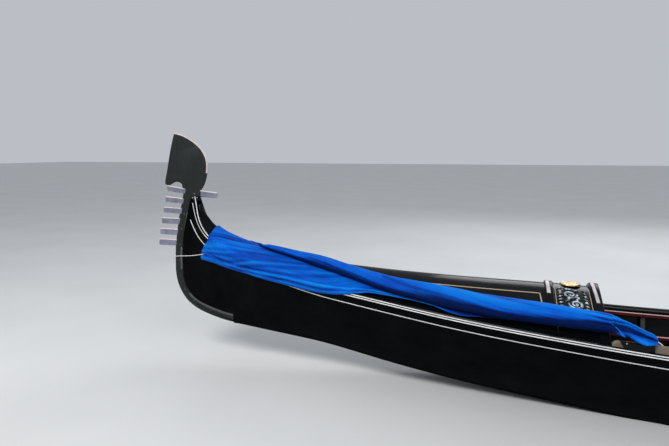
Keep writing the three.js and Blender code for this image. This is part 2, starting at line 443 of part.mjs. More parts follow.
// ---------------------------------------------------------------- rowing gear at the stern
const FX = -2470, fy = -(starAt(FX) - 46), fz = sheerAt(FX - 150) + 1;
put("forcola_block", box(FX - 150, FX + 150, fy - 38, fy + 34, fz, fz + 46), "black");
const FORCOLA = [[-62, 0], [58, 0], [66, 70], [96, 150], [92, 205], [62, 232], [34, 222], [36, 196], [58, 180], [50, 160], [18, 156], [2, 190], [14, 262], [50, 318], [64, 372], [40, 408], [14, 396], [18, 366], [-6, 338], [-44, 330], [-66, 290], [-58, 200], [-70, 90]];
put("forcola", plateXZ(FORCOLA.map((p) => [FX + p[0], fz + 46.6 + p[1]]), fy - 22, fy + 20), "walnut");
// Raised boards for the rower's feet, on the port half of the stern deck
const platRings = [0, 1].map((k) => {
  const list = [at(-3150), at(-3700)], i = list[k];
  return [0.12, 0.35, 0.62, 0.86].map((u) => deckAt(i, u, 3)).concat([0.86, 0.62, 0.35, 0.12].map((u) => deckAt(i, u, 21)));
});
put("rowing_platform", loft(platRings), "boards");

// ---------------------------------------------------------------- furled cover over the bow
// Path across the boat at place s along it, in sections: down the starboard side, over the deck, down
// the port side. w is -1 and +1 at the gunwales, and 1 more for each 250 mm down the side
function across(s, w) {
  const i = Math.floor(s), f = s - i;
  if (f > 1e-6) {
    const a = across(i, w), b = across(i + 1, w);
    return a.map((q, k) => lerp(q, b[k], f));
  }
  const side = w < 0 ? -1 : 1, q = Math.abs(w), r = ribs[i];
  if (q <= 1) {
    const p = deckAt(i, w, 0, -RAIL_OUT);
    return q > 0.9 ? [lerp(p[0], r.rail[0], (q - 0.9) * 10), p[1], lerp(p[2], r.rail[3], (q - 0.9) * 10)] : p;
  }
  const down = (q - 1) * 250, v = Math.max(0.05, 1 - down / depth(i)), k = skin(i, v, side);
  return [k[0], k[1] + side * RAIL_OUT, k[2]];
}
// Sections of the cover over the bow: place along, how far forward it leans below the rails, where it
// starts and ends across, thickness at its edges and at the roll, and where the roll is across
const COVER = [
  [4.24, 1.86, -1.85, 1.88, 8, 12, 0],
  [4.6, 0.9, -1.76, 1.78, 9, 16, 0.1],
  [5, 0.35, -1.62, 1.7, 10, 20, 0.2],
  [6, 0, -1.45, 1.6, 10, 26, 0.3],
  [7, 0, -1.2, 1.47, 10, 32, 0.3],
  [8, 0, -0.98, 1.39, 10, 40, 0.3],
  [9, 0, -0.1, 1.26, 10, 58, 0.42],
  [10, 0, 0.28, 1.02, 10, 72, 0.57],
  [11, 0, 0.5, 0.86, 12, 92, 0.68],
  [12, 0, 0.58, 0.9, 12, 108, 0.75],
  [13, 0, 0.65, 0.94, 14, 120, 0.8],
  [14, 0, 0.68, 0.95, 14, 118, 0.82],
  [15, 0, 0.66, 0.92, 14, 118, 0.8],
  [16, 0, 0.66, 0.92, 14, 116, 0.8],
  [17, 0, 0.65, 0.88, 14, 98, 0.77],
  [18, 0, 0.65, 0.87, 14, 94, 0.76],
];
// Its tail beyond the deck: x, y, z of the middle, radius
const TAIL = [[2359, 446, 608, 48], [2301, 485, 600, 42], [2250, 522, 583, 32], [2206, 541, 564, 20]];
const N = 11;
const overDeck = COVER.map(([s, lean, a, e, edge, roll, wm]) => {
  const inner = [], outer = [], lift = s < 7.5 ? 24 : s < 10.5 ? 32 : 14, at = (w) => across(s - lean * Math.max(0, Math.abs(w) - 1), w);
  // the third sample from each edge falls on the gunwale's corner where the cover hangs over it
  const s0 = a < -1 ? -1 : a + 0.05, s1 = e > 1 ? 1 : e - 0.05;
  for (let k = 0; k <= N; k++) {
    const w = k < 2 ? lerp(a, s0, k / 2) : k > N - 2 ? lerp(e, s1, (N - k) / 2) : lerp(s0, s1, (k - 2) / (N - 4));
    const p = at(w), m = at(w - 0.03), n = at(w + 0.03);
    const ty = n[1] - m[1], tz = n[2] - m[2], l = Math.hypot(ty, tz), ny = -tz / l, nz = ty / l;
    const q = w < wm ? (w - a) / (wm - a) : (e - w) / (e - wm);
    const t = edge + (roll - edge) * Math.sin((Math.PI / 2) * Math.min(Math.max(q, 0), 1));
    inner.push([p[0], p[1] + lift * ny, p[2] + lift * nz]);
    outer.push([p[0], p[1] + (lift + t) * ny, p[2] + (lift + t) * nz]);
  }
  return [...inner, ...outer.reverse()];
});
const tail = TAIL.map(([x, y, z, r]) => {
  const row = (turn) => [...Array(N + 1).keys()].map((k) => {
    const t = Math.PI * (0.03 + (0.94 * k) / N);
    return [x, y - r * Math.cos(t), z + turn * r * Math.sin(t)];
  });
  return [...row(-1), ...row(1).reverse()];
});
put("tarp", loft([...overDeck, ...tail]), "blue");

// Cords that hold the cover: one round the bow iron, one to the port rail
const BOW_TIE = [[5217, 114, 790], [5328, 82, 783], [5440, 47, 774], [5496, 18, 764], [5507, 0, 762]];
put("tarp_bow_tie", tube([...BOW_TIE, ...BOW_TIE.slice(0, -1).reverse().map(([x, y, z]) => [x, -y, z])], 3, 26, 6), "white");
put("tarp_aft_tie", tube([[2201, 542, 566], [2187, 544, 556], [2173, 545, 546]], 3, 6, 6), "white");

export default root;
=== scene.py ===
import math

import bmesh
import bpy
import numpy as np
from mathutils import Matrix, Vector
from mathutils.bvhtree import BVHTree


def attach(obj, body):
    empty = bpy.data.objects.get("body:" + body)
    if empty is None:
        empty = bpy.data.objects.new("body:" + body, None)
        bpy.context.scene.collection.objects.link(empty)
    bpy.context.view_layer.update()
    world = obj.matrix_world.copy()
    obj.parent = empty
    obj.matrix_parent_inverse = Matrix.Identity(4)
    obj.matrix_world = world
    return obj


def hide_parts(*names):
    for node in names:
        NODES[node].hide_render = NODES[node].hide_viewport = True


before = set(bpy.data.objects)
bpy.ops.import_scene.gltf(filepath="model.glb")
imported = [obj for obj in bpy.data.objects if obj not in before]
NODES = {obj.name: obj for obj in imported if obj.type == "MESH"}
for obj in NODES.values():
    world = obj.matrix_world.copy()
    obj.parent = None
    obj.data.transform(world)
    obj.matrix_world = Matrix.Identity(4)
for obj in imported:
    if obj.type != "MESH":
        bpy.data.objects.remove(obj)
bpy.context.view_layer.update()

rng = np.random.default_rng(7)

# ------------------------------------------------------------------ camera, light, floor
EYE = Vector((3.09574, 3.79822, 1.59864))
AHEAD = Vector((0.2732481, -0.9529294, -0.1313813))
HEAD_UP = Vector((0.0362136, -0.1262918, 0.9913319))
cam = bpy.data.cameras.new("camera")
cam.sensor_width = 36.0
cam.lens = 29.596
cam.clip_start, cam.clip_end = 0.05, 200.0
cam.dof.use_dof = False
camera = bpy.data.objects.new("camera", cam)
bpy.context.scene.collection.objects.link(camera)
right = AHEAD.cross(HEAD_UP)
turn = Matrix((right, HEAD_UP, -AHEAD)).transposed().to_4x4()
camera.matrix_world = Matrix.Translation(EYE) @ turn
bpy.context.scene.camera = camera

scene = bpy.context.scene
scene.view_settings.view_transform = "Standard"
scene.view_settings.look = "None"
scene.view_settings.exposure = 0.0

world = bpy.data.worlds.new("studio")
world.use_nodes = True
world.node_tree.nodes["Background"].inputs["Color"].default_value = (0.80, 0.84, 0.90, 1)
world.node_tree.nodes["Background"].inputs["Strength"].default_value = 0.62
scene.world = world


def lamp(name, place, target, size, power, colour=(1, 1, 1)):
    data = bpy.data.lights.new(name, "AREA")
    data.shape = "RECTANGLE"
    data.size, data.size_y = size
    data.energy = power
    data.color = colour
    o = bpy.data.objects.new(name, data)
    scene.collection.objects.link(o)
    o.location = place
    o.rotation_mode = "QUATERNION"
    o.rotation_quaternion = (Vector(target) - Vector(place)).to_track_quat("-Z", "Y")
    return o


lamp("key", (7.0, 5.5, 7.5), (2.5, 0, 0.4), (4.0, 4.0), 620, (1.0, 0.97, 0.93))
lamp("fill", (-4.0, 7.0, 5.0), (0.5, 0, 0.4), (6.0, 4.0), 260, (0.93, 0.96, 1.0))
lamp("back", (0.0, -7.0, 5.5), (0.5, 0, 0.4), (8.0, 3.0), 260)

# ------------------------------------------------------------------ dimensions, as in the CAD model
PLANK, BOTTOM, GAP, RAIL_HIGH, RAIL_IN, RAIL_OUT = 0.014, 0.018, 0.0005, 0.020, 0.030, 0.005
DECK, POST_HALF, IRON_HALF, CROWN_POWER, CROWN_SOFT, BEAM_RAISE = 0.012, 0.021, 0.006, 1.27, 0.12, 0.007
FORE_LIFT, END_LIFT = 0.009, 0.022  # rise of the cross beams along the crest
FLOOR_UP, FLOOR = 0.060, 0.014
FORE_BULKHEAD_X, AFT_BULKHEAD_X, BULKHEAD = 2.455, -2.915, 0.018
DOOR = dict(y0=-0.155, y1=0.155, z0=0.135, z1=0.440)
# x, half-breadth of the gunwale port and starboard, of the bottom port and starboard, sheer, bottom, ridge
BODY = np.array([
    [4750, 222, 192, 40, 38, 803, 243, 872], [4250, 300, 243, 90, 78, 692, 203, 793],
    [3750, 385, 298, 152, 130, 630, 133, 757], [3250, 460, 347, 207, 175, 575, 73, 740],
    [2745, 523, 388, 262, 220, 535, 34, 730], [2150, 589, 434, 322, 262, 500, -10, 700],
    [1450, 660, 484, 390, 310, 477, -55, 600], [700, 735, 533, 450, 355, 461, -95, 560],
    [0, 796, 575, 487, 385, 454, -120, 550], [-700, 823, 594, 500, 395, 454, -130, 550],
    [-1400, 812, 586, 490, 388, 462, -125, 560], [-2100, 765, 550, 455, 355, 485, -95, 600],
    [-2800, 675, 485, 385, 300, 530, -40, 670], [-3400, 565, 408, 295, 232, 600, 45, 745],
    [-4000, 425, 315, 180, 145, 715, 180, 845], [-4500, 285, 225, 75, 65, 868, 335, 965]]) / 1000
# leaning sections: gunwale x, y port, y starboard, z; bottom x, y, z; ridge x, z
BOW = np.array([
    [5287, 36, 36, 1245, 4990, 36, 266, 5276, 1226], [5271, 46, 46, 1180, 4976, 37, 266, 5262, 1186],
    [5250, 62, 61, 1100, 4955, 37, 265, 5236, 1128], [5212, 84, 82, 1030, 4930, 38, 263, 5198, 1082],
    [5152, 107, 103, 966, 4900, 38, 260, 5148, 1028], [5068, 133, 125, 914, 4865, 39, 256, 5060, 974],
    [4950, 166, 150, 864, 4820, 39, 251, 4950, 929]]) / 1000
STERN = np.array([
    [-4700, 225, 185, 940, -4600, 62, 378, -4700, 1020], [-4900, 158, 138, 1030, -4680, 52, 412, -4900, 1090],
    [-5060, 96, 90, 1110, -4740, 43, 438, -5060, 1150], [-5172, 36, 36, 1190, -4780, 36, 455, -5170, 1196]]) / 1000
STEM = np.array([[4990, 266], [5268, 378], [5388, 512], [5433, 700], [5408, 930], [5331, 1245]]) / 1000
STERN_POST = np.array([[-4780, 455], [-4945, 560], [-5060, 690], [-5135, 850], [-5172, 1020], [-5190, 1190]]) / 1000
STATIONS = np.array([
    4750, 4500, 4250, 4000, 3750, 3500, 3250, 3000, 2745, 2695, 2475, 2420, 2150, 1800, 1450, 1100, 700, 350, 0,
    -350, -700, -1050, -1400, -1750, -2100, -2450, -2800, -2860, -2920, -3150, -3400, -3700, -4000, -4250, -4500]) / 1000


# ------------------------------------------------------------------ curves
def monotone(x, y):
    n = len(x)
    d = (y[1:] - y[:-1]) / (x[1:] - x[:-1])
    m = np.zeros(n)
    m[0], m[-1] = d[0], d[-1]
    for i in range(1, n - 1):
        if d[i - 1] * d[i] > 0:
            h0, h1 = x[i] - x[i - 1], x[i + 1] - x[i]
            a, b = 2 * h1 + h0, h1 + 2 * h0
            m[i] = (a + b) / (a / d[i - 1] + b / d[i])

    def f(at):
        q = np.clip(np.asarray(at, float), x[0], x[-1])
        i = np.clip(np.searchsorted(x, q, side="right") - 1, 0, n - 2)
        h = x[i + 1] - x[i]
        t = (q - x[i]) / h
        t2, t3 = t * t, t * t * t
        return (2 * t3 - 3 * t2 + 1) * y[i] + (t3 - 2 * t2 + t) * h * m[i] + (3 * t2 - 2 * t3) * y[i + 1] + (t3 - t2) * h * m[i + 1]
    return f


def spline(x, Y):
    """Natural cubic through the rows of Y at x."""
    x, Y = np.asarray(x, float), np.asarray(Y, float)
    flat = Y.ndim == 1
    if flat:
        Y = Y[:, None]
    n = len(x)
    h = np.diff(x)
    A = np.zeros((n, n))
    B = np.zeros((n, Y.shape[1]))
    A[0, 0] = A[-1, -1] = 1
    for i in range(1, n - 1):
        A[i, i - 1], A[i, i], A[i, i + 1] = h[i - 1], 2 * (h[i - 1] + h[i]), h[i]
        B[i] = 6 * ((Y[i + 1] - Y[i]) / h[i] - (Y[i] - Y[i - 1]) / h[i - 1])
    M = np.linalg.solve(A, B)

    def f(at):
        q = np.clip(np.atleast_1d(np.asarray(at, float)), x[0], x[-1])
        i = np.clip(np.searchsorted(x, q, side="right") - 1, 0, n - 2)
        a, b, w = (x[i + 1] - q)[:, None], (q - x[i])[:, None], h[i][:, None]
        out = (M[i] * a ** 3 + M[i + 1] * b ** 3) / (6 * w) + (Y[i] / w - M[i] * w / 6) * a + (Y[i + 1] / w - M[i + 1] * w / 6) * b
        return out[:, 0] if flat else out
    return f


portAt, starAt, chineP, chineS, sheerAt, keelAt, ridgeAt = [monotone(BODY[::-1, 0], BODY[::-1, k]) for k in range(1, 8)]
rows = [[r[0], r[1], r[2], r[3], r[4], r[5], r[5], r[6], r[7], r[8]] for r in BOW]
rows += [[x, portAt(x), starAt(x), sheerAt(x), x, chineP(x), chineS(x), keelAt(x), x, ridgeAt(x)] for x in STATIONS]
rows += [[r[0], r[1], r[2], r[3], r[4], r[5], r[5], r[6], r[7], r[8]] for r in STERN]
RIBS = np.array(rows, float)
FIRST, LAST, NR = len(BOW), len(BOW) + len(STATIONS) - 1, len(RIBS)
GIRTH = np.concatenate([[0], np.cumsum(np.linalg.norm(np.diff(RIBS[:, [0, 3]], axis=0), axis=1))])
_rib = spline(GIRTH, RIBS)


def girth_of(s):
    return np.interp(s, np.arange(NR), GIRTH)


def place_of(x):
    """Place along, in sections, of an upright section at x."""
    return np.interp(-np.asarray(x, float), -RIBS[FIRST:LAST + 1, 0], np.arange(FIRST, LAST + 1))


def rib(s):
    """Rows of the sections at places s: smooth lengthwise."""
    s = np.atleast_1d(np.asarray(s, float))
    return _rib(girth_of(s))


def up_of(s):
    """Square to the sheer, away from the hull, in X-Z."""
    s = np.atleast_1d(np.asarray(s, float))
    g = girth_of(s)
    a, b = _rib(np.clip(g - 0.01, 0, GIRTH[-1])), _rib(np.clip(g + 0.01, 0, GIRTH[-1]))
    t = (a - b)[:, [0, 3]]
    t /= np.linalg.norm(t, axis=1)[:, None]
    return np.stack([-t[:, 1], t[:, 0]], 1)


_stem = spline(np.linspace(0, 1, len(STEM)), STEM)
_post = spline(np.linspace(0, 1, len(STERN_POST)), STERN_POST)


def crown(u):
    e, p = CROWN_SOFT ** 2, CROWN_POWER / 2
    z = e ** p
    return ((u * u + e) ** p - z) / ((1 + e) ** p - z)


def deck(s, u, rise=0.0, inset=RAIL_IN + GAP):
    """Upper face of the decks: places s (m), shares across u (n) from -1 starboard to +1 port."""
    s, u = np.atleast_1d(np.asarray(s, float)), np.atleast_1d(np.asarray(u, float))
    r, up = rib(s), up_of(s)
    half = np.where(u[None, :] > 0, r[:, 1:2], r[:, 2:3]) - inset
    half = np.maximum(half, 0.008)
    c = crown(np.abs(u))[None, :]
    ex, ez = (r[:, 0] - 0.002 * up[:, 0])[:, None], (r[:, 3] - 0.002 * up[:, 1])[:, None]
    rise = np.asarray(rise, float)
    x = r[:, 8:9] + (ex - r[:, 8:9]) * c + rise * up[:, 0:1]
    z = r[:, 9:10] + (ez - r[:, 9:10]) * c + rise * up[:, 1:2]
    return np.stack([x, u[None, :] * half, z], 2)


def inner_y(x, z, side):
    """Inner face of the planking at height z on an upright section x."""
    b, c = (portAt(x), chineP(x)) if side > 0 else (starAt(x), chineS(x))
    v = np.clip((z - keelAt(x)) / (sheerAt(x) - keelAt(x)), 0, 1)
    return c + (b - c) * v + 0.24 * v * (1 - v) * (b - c) - PLANK


# ------------------------------------------------------------------ mesh making
class Heap:
    """Collects shapes that become one mesh."""

    def __init__(self):
        self.v, self.f, self.n, self.tone = [], [], 0, []

    def add(self, v, f, tone=0.5):
        v = np.asarray(v, float).reshape(-1, 3)
        self.v.append(v)
        self.f += [[int(i) + self.n for i in q] for q in f]
        self.tone.append(np.full(len(v), tone))
        self.n += len(v)
        return self

    def tube(self, rings, closed=True, caps=True, tone=0.5, loop=False):
        """Skin over rings (m x k x 3)."""
        rings = np.asarray(rings, float)
        m, k = rings.shape[:2]
        f = []
        for i in range(m if loop else m - 1):
            a, b = i * k, ((i + 1) % m) * k
            for j in range(k if closed else k - 1):
                q = (j + 1) % k
                f.append((a + j, a + q, b + q, b + j))
        if caps and closed and not loop:
            f.append(tuple(range(k))[::-1])
            f.append(tuple((m - 1) * k + j for j in range(k)))
        return self.add(rings.reshape(-1, 3), f, tone)

    def block(self, x0, x1, y0, y1, z0, z1, r=0.003, seg=2, tone=0.5, turn=None):
        """Box with rounded edges."""
        bm = bmesh.new()
        bmesh.ops.create_cube(bm, size=1.0)
        for q in bm.verts:
            q.co = Vector(((x0 + x1) / 2 + q.co.x * abs(x1 - x0), (y0 + y1) / 2 + q.co.y * abs(y1 - y0), (z0 + z1) / 2 + q.co.z * abs(z1 - z0)))
        if r > 0:
            bmesh.ops.bevel(bm, geom=bm.edges[:], offset=min(r, 0.45 * min(abs(x1 - x0), abs(y1 - y0), abs(z1 - z0))), segments=seg, profile=0.5, affect="EDGES")
        if turn is not None:
            bmesh.ops.transform(bm, matrix=turn, verts=bm.verts[:])
        bm.verts.ensure_lookup_table()
        self.add([q.co[:] for q in bm.verts], [[q.index for q in f.verts] for f in bm.faces], tone)
        bm.free()
        return self

    def turned(self, profile, centre, axis="Z", steps=32, tone=0.5):
        """Solid of revolution: profile of (radius, height) from pole to pole."""
        v, f = [], []
        for r, h in profile:
            for k in range(steps):
                a = 2 * math.pi * k / steps
                p = (r * math.cos(a), r * math.sin(a), h)
                p = {"Z": p, "X": (p[2], p[0], p[1]), "Y": (p[1], p[2], p[0])}[axis]
                v.append((p[0] + centre[0], p[1] + centre[1], p[2] + centre[2]))
        m = len(profile)
        for i in range(m - 1):
            for k in range(steps):
                q = (k + 1) % steps
                f.append((i * steps + k, i * steps + q, (i + 1) * steps + q, (i + 1) * steps + k))
        f.append(tuple(range(steps))[::-1])
        f.append(tuple((m - 1) * steps + k for k in range(steps)))
        return self.add(v, f, tone)


def smooth_mesh(mesh, angle=35):
    mesh.polygons.foreach_set("use_smooth", [True] * len(mesh.polygons))
    mesh.set_sharp_from_angle(angle=math.radians(angle))


def finish_piece(heap, name, material, body="hull", angle=35, replaces=(), weld=0.0, flip=True):
    """A Heap becomes an object that rides on a body."""
    mesh = bpy.data.meshes.new(name)
    mesh.from_pydata(np.concatenate(heap.v).tolist(), [], heap.f)
    mesh.update()
    tone = mesh.attributes.new("tone", "FLOAT", "POINT")
    tone.data.foreach_set("value", np.concatenate(heap.tone).astype(np.float32))
    bm = bmesh.new()
    bm.from_mesh(mesh)
    if weld:
        bmesh.ops.remove_doubles(bm, verts=bm.verts[:], dist=weld)
    if flip:
        bmesh.ops.recalc_face_normals(bm, faces=bm.faces[:])
    bm.to_mesh(mesh)
    bm.free()
    smooth_mesh(mesh, angle)
    o = bpy.data.objects.new(name, mesh)
    scene.collection.objects.link(o)
    for m in material if isinstance(material, (list, tuple)) else [material]:
        mesh.materials.append(m)
    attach(o, body)
    if replaces:
        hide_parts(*replaces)
    return o


def frames_along(path, normal):
    """Tangent and side directions for a path with rough normals."""
    path, normal = np.asarray(path, float), np.asarray(normal, float)
    t = np.gradient(path, axis=0)
    t /= np.linalg.norm(t, axis=1)[:, None]
    if normal.ndim == 1:
        normal = np.repeat(normal[None], len(path), 0)
    n = normal - (normal * t).sum(1)[:, None] * t
    n /= np.linalg.norm(n, axis=1)[:, None]
    return t, n, np.cross(t, n)


def sweep(path, normal, profile):
    """Rings of a profile of (across, out) carried along a path."""
    path = np.asarray(path, float)
    t, n, b = frames_along(path, normal)
    pr = np.asarray(profile, float)
    return path[:, None, :] + pr[None, :, 0:1] * b[:, None, :] + pr[None, :, 1:2] * n[:, None, :]


def half_round(w, h, k=7, foot=0.002):
    """Bead profile w wide and h high, let foot into what carries it."""
    a = np.linspace(0, math.pi, k)
    return [(w / 2 * math.cos(q), h * math.sin(q)) for q in a] + [(-w / 2, -foot), (w / 2, -foot)]


def resample(points, step):
    points = np.asarray(points, float)
    d = np.concatenate([[0], np.cumsum(np.linalg.norm(np.diff(points, axis=0), axis=1))])
    f = spline(d, points)
    return f(np.linspace(0, d[-1], max(2, int(d[-1] / step) + 1)))

# ------------------------------------------------------------------ materials
MATERIALS = {}


class Shade:
    """Small builder of node materials."""

    def __init__(self, name, rough=0.5, metal=0.0, colour=(0.5, 0.5, 0.5), coat=0.0, coat_rough=0.1, specular=0.5, sheen=0.0, sheen_rough=0.5):
        self.m = bpy.data.materials.new(name)
        self.m.use_nodes = True
        self.t = self.m.node_tree
        self.b = self.t.nodes["Principled BSDF"]
        self.set("Base Color", (*colour, 1)).set("Roughness", rough).set("Metallic", metal)
        self.set("Coat Weight", coat).set("Coat Roughness", coat_rough).set("Specular IOR Level", specular)
        self.set("Sheen Weight", sheen).set("Sheen Roughness", sheen_rough)
        self.m.diffuse_color = (*colour, 1)
        self.co = None
        MATERIALS[name] = self.m

    def set(self, socket, value):
        self.b.inputs[socket].default_value = value
        return self

    def node(self, kind, **values):
        n = self.t.nodes.new(kind)
        for k, v in values.items():
            if k in n.inputs:
                n.inputs[k].default_value = v
            else:
                setattr(n, k, v)
        return n

    def link(self, a, b):
        self.t.links.new(a, b)
        return self

    def place(self, scale=(1, 1, 1), turn=(0, 0, 0)):
        """Object coordinates, scaled."""
        if self.co is None:
            self.co = self.node("ShaderNodeTexCoord").outputs["Object"]
        m = self.node("ShaderNodeMapping")
        m.inputs["Scale"].default_value = scale
        m.inputs["Rotation"].default_value = turn
        self.link(self.co, m.inputs["Vector"])
        return m.outputs["Vector"]

    def noise(self, scale=(1, 1, 1), size=10.0, detail=4.0, rough=0.55, turn=(0, 0, 0), distortion=0.0):
        n = self.node("ShaderNodeTexNoise")
        n.inputs["Scale"].default_value = size
        n.inputs["Detail"].default_value = detail
        n.inputs["Roughness"].default_value = rough
        n.inputs["Distortion"].default_value = distortion
        self.link(self.place(scale, turn), n.inputs["Vector"])
        return n.outputs["Fac"]

    def wave(self, scale=(1, 1, 1), size=10.0, distortion=1.0, detail=2.0, turn=(0, 0, 0), bands="X", profile="SIN"):
        n = self.node("ShaderNodeTexWave")
        n.bands_direction = bands
        n.wave_profile = profile
        n.inputs["Scale"].default_value = size
        n.inputs["Distortion"].default_value = distortion
        n.inputs["Detail"].default_value = detail
        self.link(self.place(scale, turn), n.inputs["Vector"])
        return n.outputs["Fac"]

    def cells(self, scale=(1, 1, 1), size=10.0, feature="F1"):
        n = self.node("ShaderNodeTexVoronoi")
        n.feature = feature
        n.inputs["Scale"].default_value = size
        self.link(self.place(scale), n.inputs["Vector"])
        return n.outputs["Distance"]

    def ramp(self, fac, stops):
        """stops: (position, value or colour)."""
        n = self.node("ShaderNodeValToRGB")
        e = n.color_ramp.elements
        while len(e) > 1:
            e.remove(e[-1])
        for k, (p, c) in enumerate(stops):
            c = (c, c, c, 1) if isinstance(c, (int, float)) else (*c, 1)
            if k == 0:
                e[0].position, e[0].color = p, c
            else:
                q = e.new(p)
                q.color = c
        self.link(fac, n.inputs["Fac"])
        return n.outputs["Color"]

    def mix(self, fac, a, b, mode="MIX"):
        n = self.node("ShaderNodeMix")
        n.data_type = "RGBA"
        n.blend_type = mode
        for s, v in ((n.inputs[0], fac), (n.inputs[6], a), (n.inputs[7], b)):
            if hasattr(v, "is_linked") or hasattr(v, "links"):
                self.link(v, s)
            elif isinstance(v, (int, float)):
                s.default_value = v if s is n.inputs[0] else (v, v, v, 1)
            else:
                s.default_value = (*v, 1)
        return n.outputs[2]

    def math(self, op, a, b=0.0):
        n = self.node("ShaderNodeMath")
        n.operation = op
        for s, v in zip(n.inputs, (a, b)):
            if isinstance(v, (int, float)):
                s.default_value = v
            else:
                self.link(v, s)
        return n.outputs[0]

    def tone(self):
        n = self.node("ShaderNodeAttribute")
        n.attribute_name = "tone"
        return n.outputs["Fac"]

    def bump(self, height, strength=0.3, distance=0.001, under=None):
        n = self.node("ShaderNodeBump")
        n.inputs["Strength"].default_value = strength
        n.inputs["Distance"].default_value = distance
        self.link(height, n.inputs["Height"])
        if under is not None:
            self.link(under, n.inputs["Normal"])
        return n.outputs["Normal"]

    def base(self, c):
        self.link(c, self.b.inputs["Base Color"])
        return self

    def rough(self, c):
        self.link(c, self.b.inputs["Roughness"])
        return self

    def normal(self, n):
        self.link(n, self.b.inputs["Normal"])
        return self


def gloss_black(name, colour=(0.0015, 0.0018, 0.0024), rough=0.13, wave=1.0, scuff=0.5, streak=(0.35, 2.2, 2.2), gloss=0.12, coat=0.03):
    """Thick brushed black varnish: long shallow waves, fine brush marks, scuffs that lighten it a little."""
    s = Shade(name, rough=rough, colour=colour, coat=coat, coat_rough=0.06, specular=gloss)
    mottled = s.noise(size=5.5, detail=6, rough=0.6)
    dust = s.ramp(mottled, [(0.30, colour), (0.62, tuple(c * 1.5 + 0.001 for c in colour)), (0.85, tuple(c * 2.6 + 0.003 for c in colour))])
    marks = s.ramp(s.noise(scale=streak, size=38, detail=6, rough=0.7), [(0.60, 0.0), (0.78, 1.0)])
    s.base(s.mix(s.math("MULTIPLY", marks, 0.18 * scuff), dust, (0.022, 0.023, 0.025)))
    s.rough(s.ramp(s.noise(scale=streak, size=14, detail=5), [(0.3, rough * 0.75), (0.7, rough * 1.6)]))
    long_waves = s.bump(s.noise(scale=(0.8, 1.6, 1.6), size=4.5, detail=2), 0.35 * wave, 0.006)
    brush = s.bump(s.noise(scale=(0.12, 6, 6), size=40, detail=3), 0.10, 0.0006, under=long_waves)
    s.normal(brush)
    return s.m


def wood(name, light, dark, rough=0.5, coat=0.0, along="X", grain=1.0, wear=0.0, worn=(0.45, 0.36, 0.26), bump=0.35):
    """Grain that runs along an axis: growth rings warped by noise, pores, and bare edges."""
    k = {"X": (0.06, 1, 1), "Y": (1, 0.06, 1), "Z": (1, 1, 0.06)}[along]
    s = Shade(name, rough=rough, colour=light, coat=coat, coat_rough=0.12)
    rings = s.wave(scale=k, size=9 * grain, distortion=7, detail=3, bands="DIAGONAL")
    fibre = s.noise(scale=tuple(q * 3 for q in k), size=60 * grain, detail=5, rough=0.7)
    blotch = s.noise(size=2.5, detail=3)
    col = s.mix(s.math("MULTIPLY", rings, 0.75), light, dark)
    col = s.mix(s.ramp(fibre, [(0.35, 0.0), (0.70, 0.6)]), col, tuple(c * 0.62 for c in dark))
    col = s.mix(s.ramp(blotch, [(0.35, 0.0), (0.75, 0.45)]), col, tuple(c * 1.25 for c in light))
    if wear:
        patches = s.ramp(s.noise(scale=k, size=16, detail=7, rough=0.7), [(0.56, 0.0), (0.68, wear)])
        col = s.mix(patches, col, worn)
    s.base(col)
    s.rough(s.ramp(fibre, [(0.3, rough * 0.85), (0.8, min(1, rough * 1.35))]))
    s.normal(s.bump(fibre, bump, 0.0008))
    return s.m


def painted(name, colour, rough=0.35, chip=0.25, under=(0.05, 0.03, 0.02), coat=0.2, scale=1.0):
    """Brushed paint with mottling, chips along the grain and dull patches."""
    s = Shade(name, rough=rough, colour=colour, coat=coat, coat_rough=0.15)
    mottle = s.noise(size=9 * scale, detail=6, rough=0.65)
    col = s.ramp(mottle, [(0.25, tuple(c * 0.72 for c in colour)), (0.6, colour), (0.9, tuple(min(1, c * 1.25 + 0.01) for c in colour))])
    chips = s.ramp(s.noise(scale=(0.35, 1, 1), size=48 * scale, detail=8, rough=0.75), [(0.64, 0.0), (0.72, chip)])
    s.base(s.mix(chips, col, under))
    s.rough(s.ramp(mottle, [(0.3, rough * 0.8), (0.8, rough * 1.5)]))
    brush = s.bump(s.noise(scale=(0.1, 5, 5), size=45, detail=3), 0.16, 0.0006)
    s.normal(s.bump(chips, 0.25, -0.0005, under=brush))
    return s.m


def metal(name, colour, rough=0.35, dark=0.4, spots=0.5, grain=(1, 1, 0.15), patina=(0.02, 0.02, 0.02), metallic=1.0, coat=0.0):
    s = Shade(name, rough=rough, metal=metallic, colour=colour, coat=coat)
    cloud = s.noise(size=11, detail=7, rough=0.65)
    col = s.ramp(cloud, [(0.25, tuple(c * (1 - dark) for c in colour)), (0.65, colour), (0.9, tuple(min(1, c * 1.2) for c in colour))])
    pits = s.ramp(s.noise(size=55, detail=7, rough=0.75), [(0.58, 0.0), (0.74, spots)])
    s.base(s.mix(pits, col, patina))
    s.rough(s.ramp(s.noise(scale=grain, size=30, detail=5), [(0.3, rough * 0.7), (0.75, min(1.0, rough * 1.6))]))
    scratch = s.bump(s.noise(scale=grain, size=120, detail=3), 0.12, 0.0004)
    s.normal(s.bump(pits, 0.2, -0.0006, under=scratch))
    return s.m


hull_black = gloss_black("hull varnish", colour=(0.0011, 0.0014, 0.0018), rough=0.12, wave=1.2, gloss=0.020, coat=0.0)
rail_black = gloss_black("rail varnish", rough=0.16, wave=0.4, scuff=0.6, gloss=0.02, coat=0.0)
deck_black = gloss_black("deck varnish", rough=0.11, wave=1.2, scuff=0.7, streak=(0.3, 1.5, 1.5), gloss=0.09, coat=0.0)


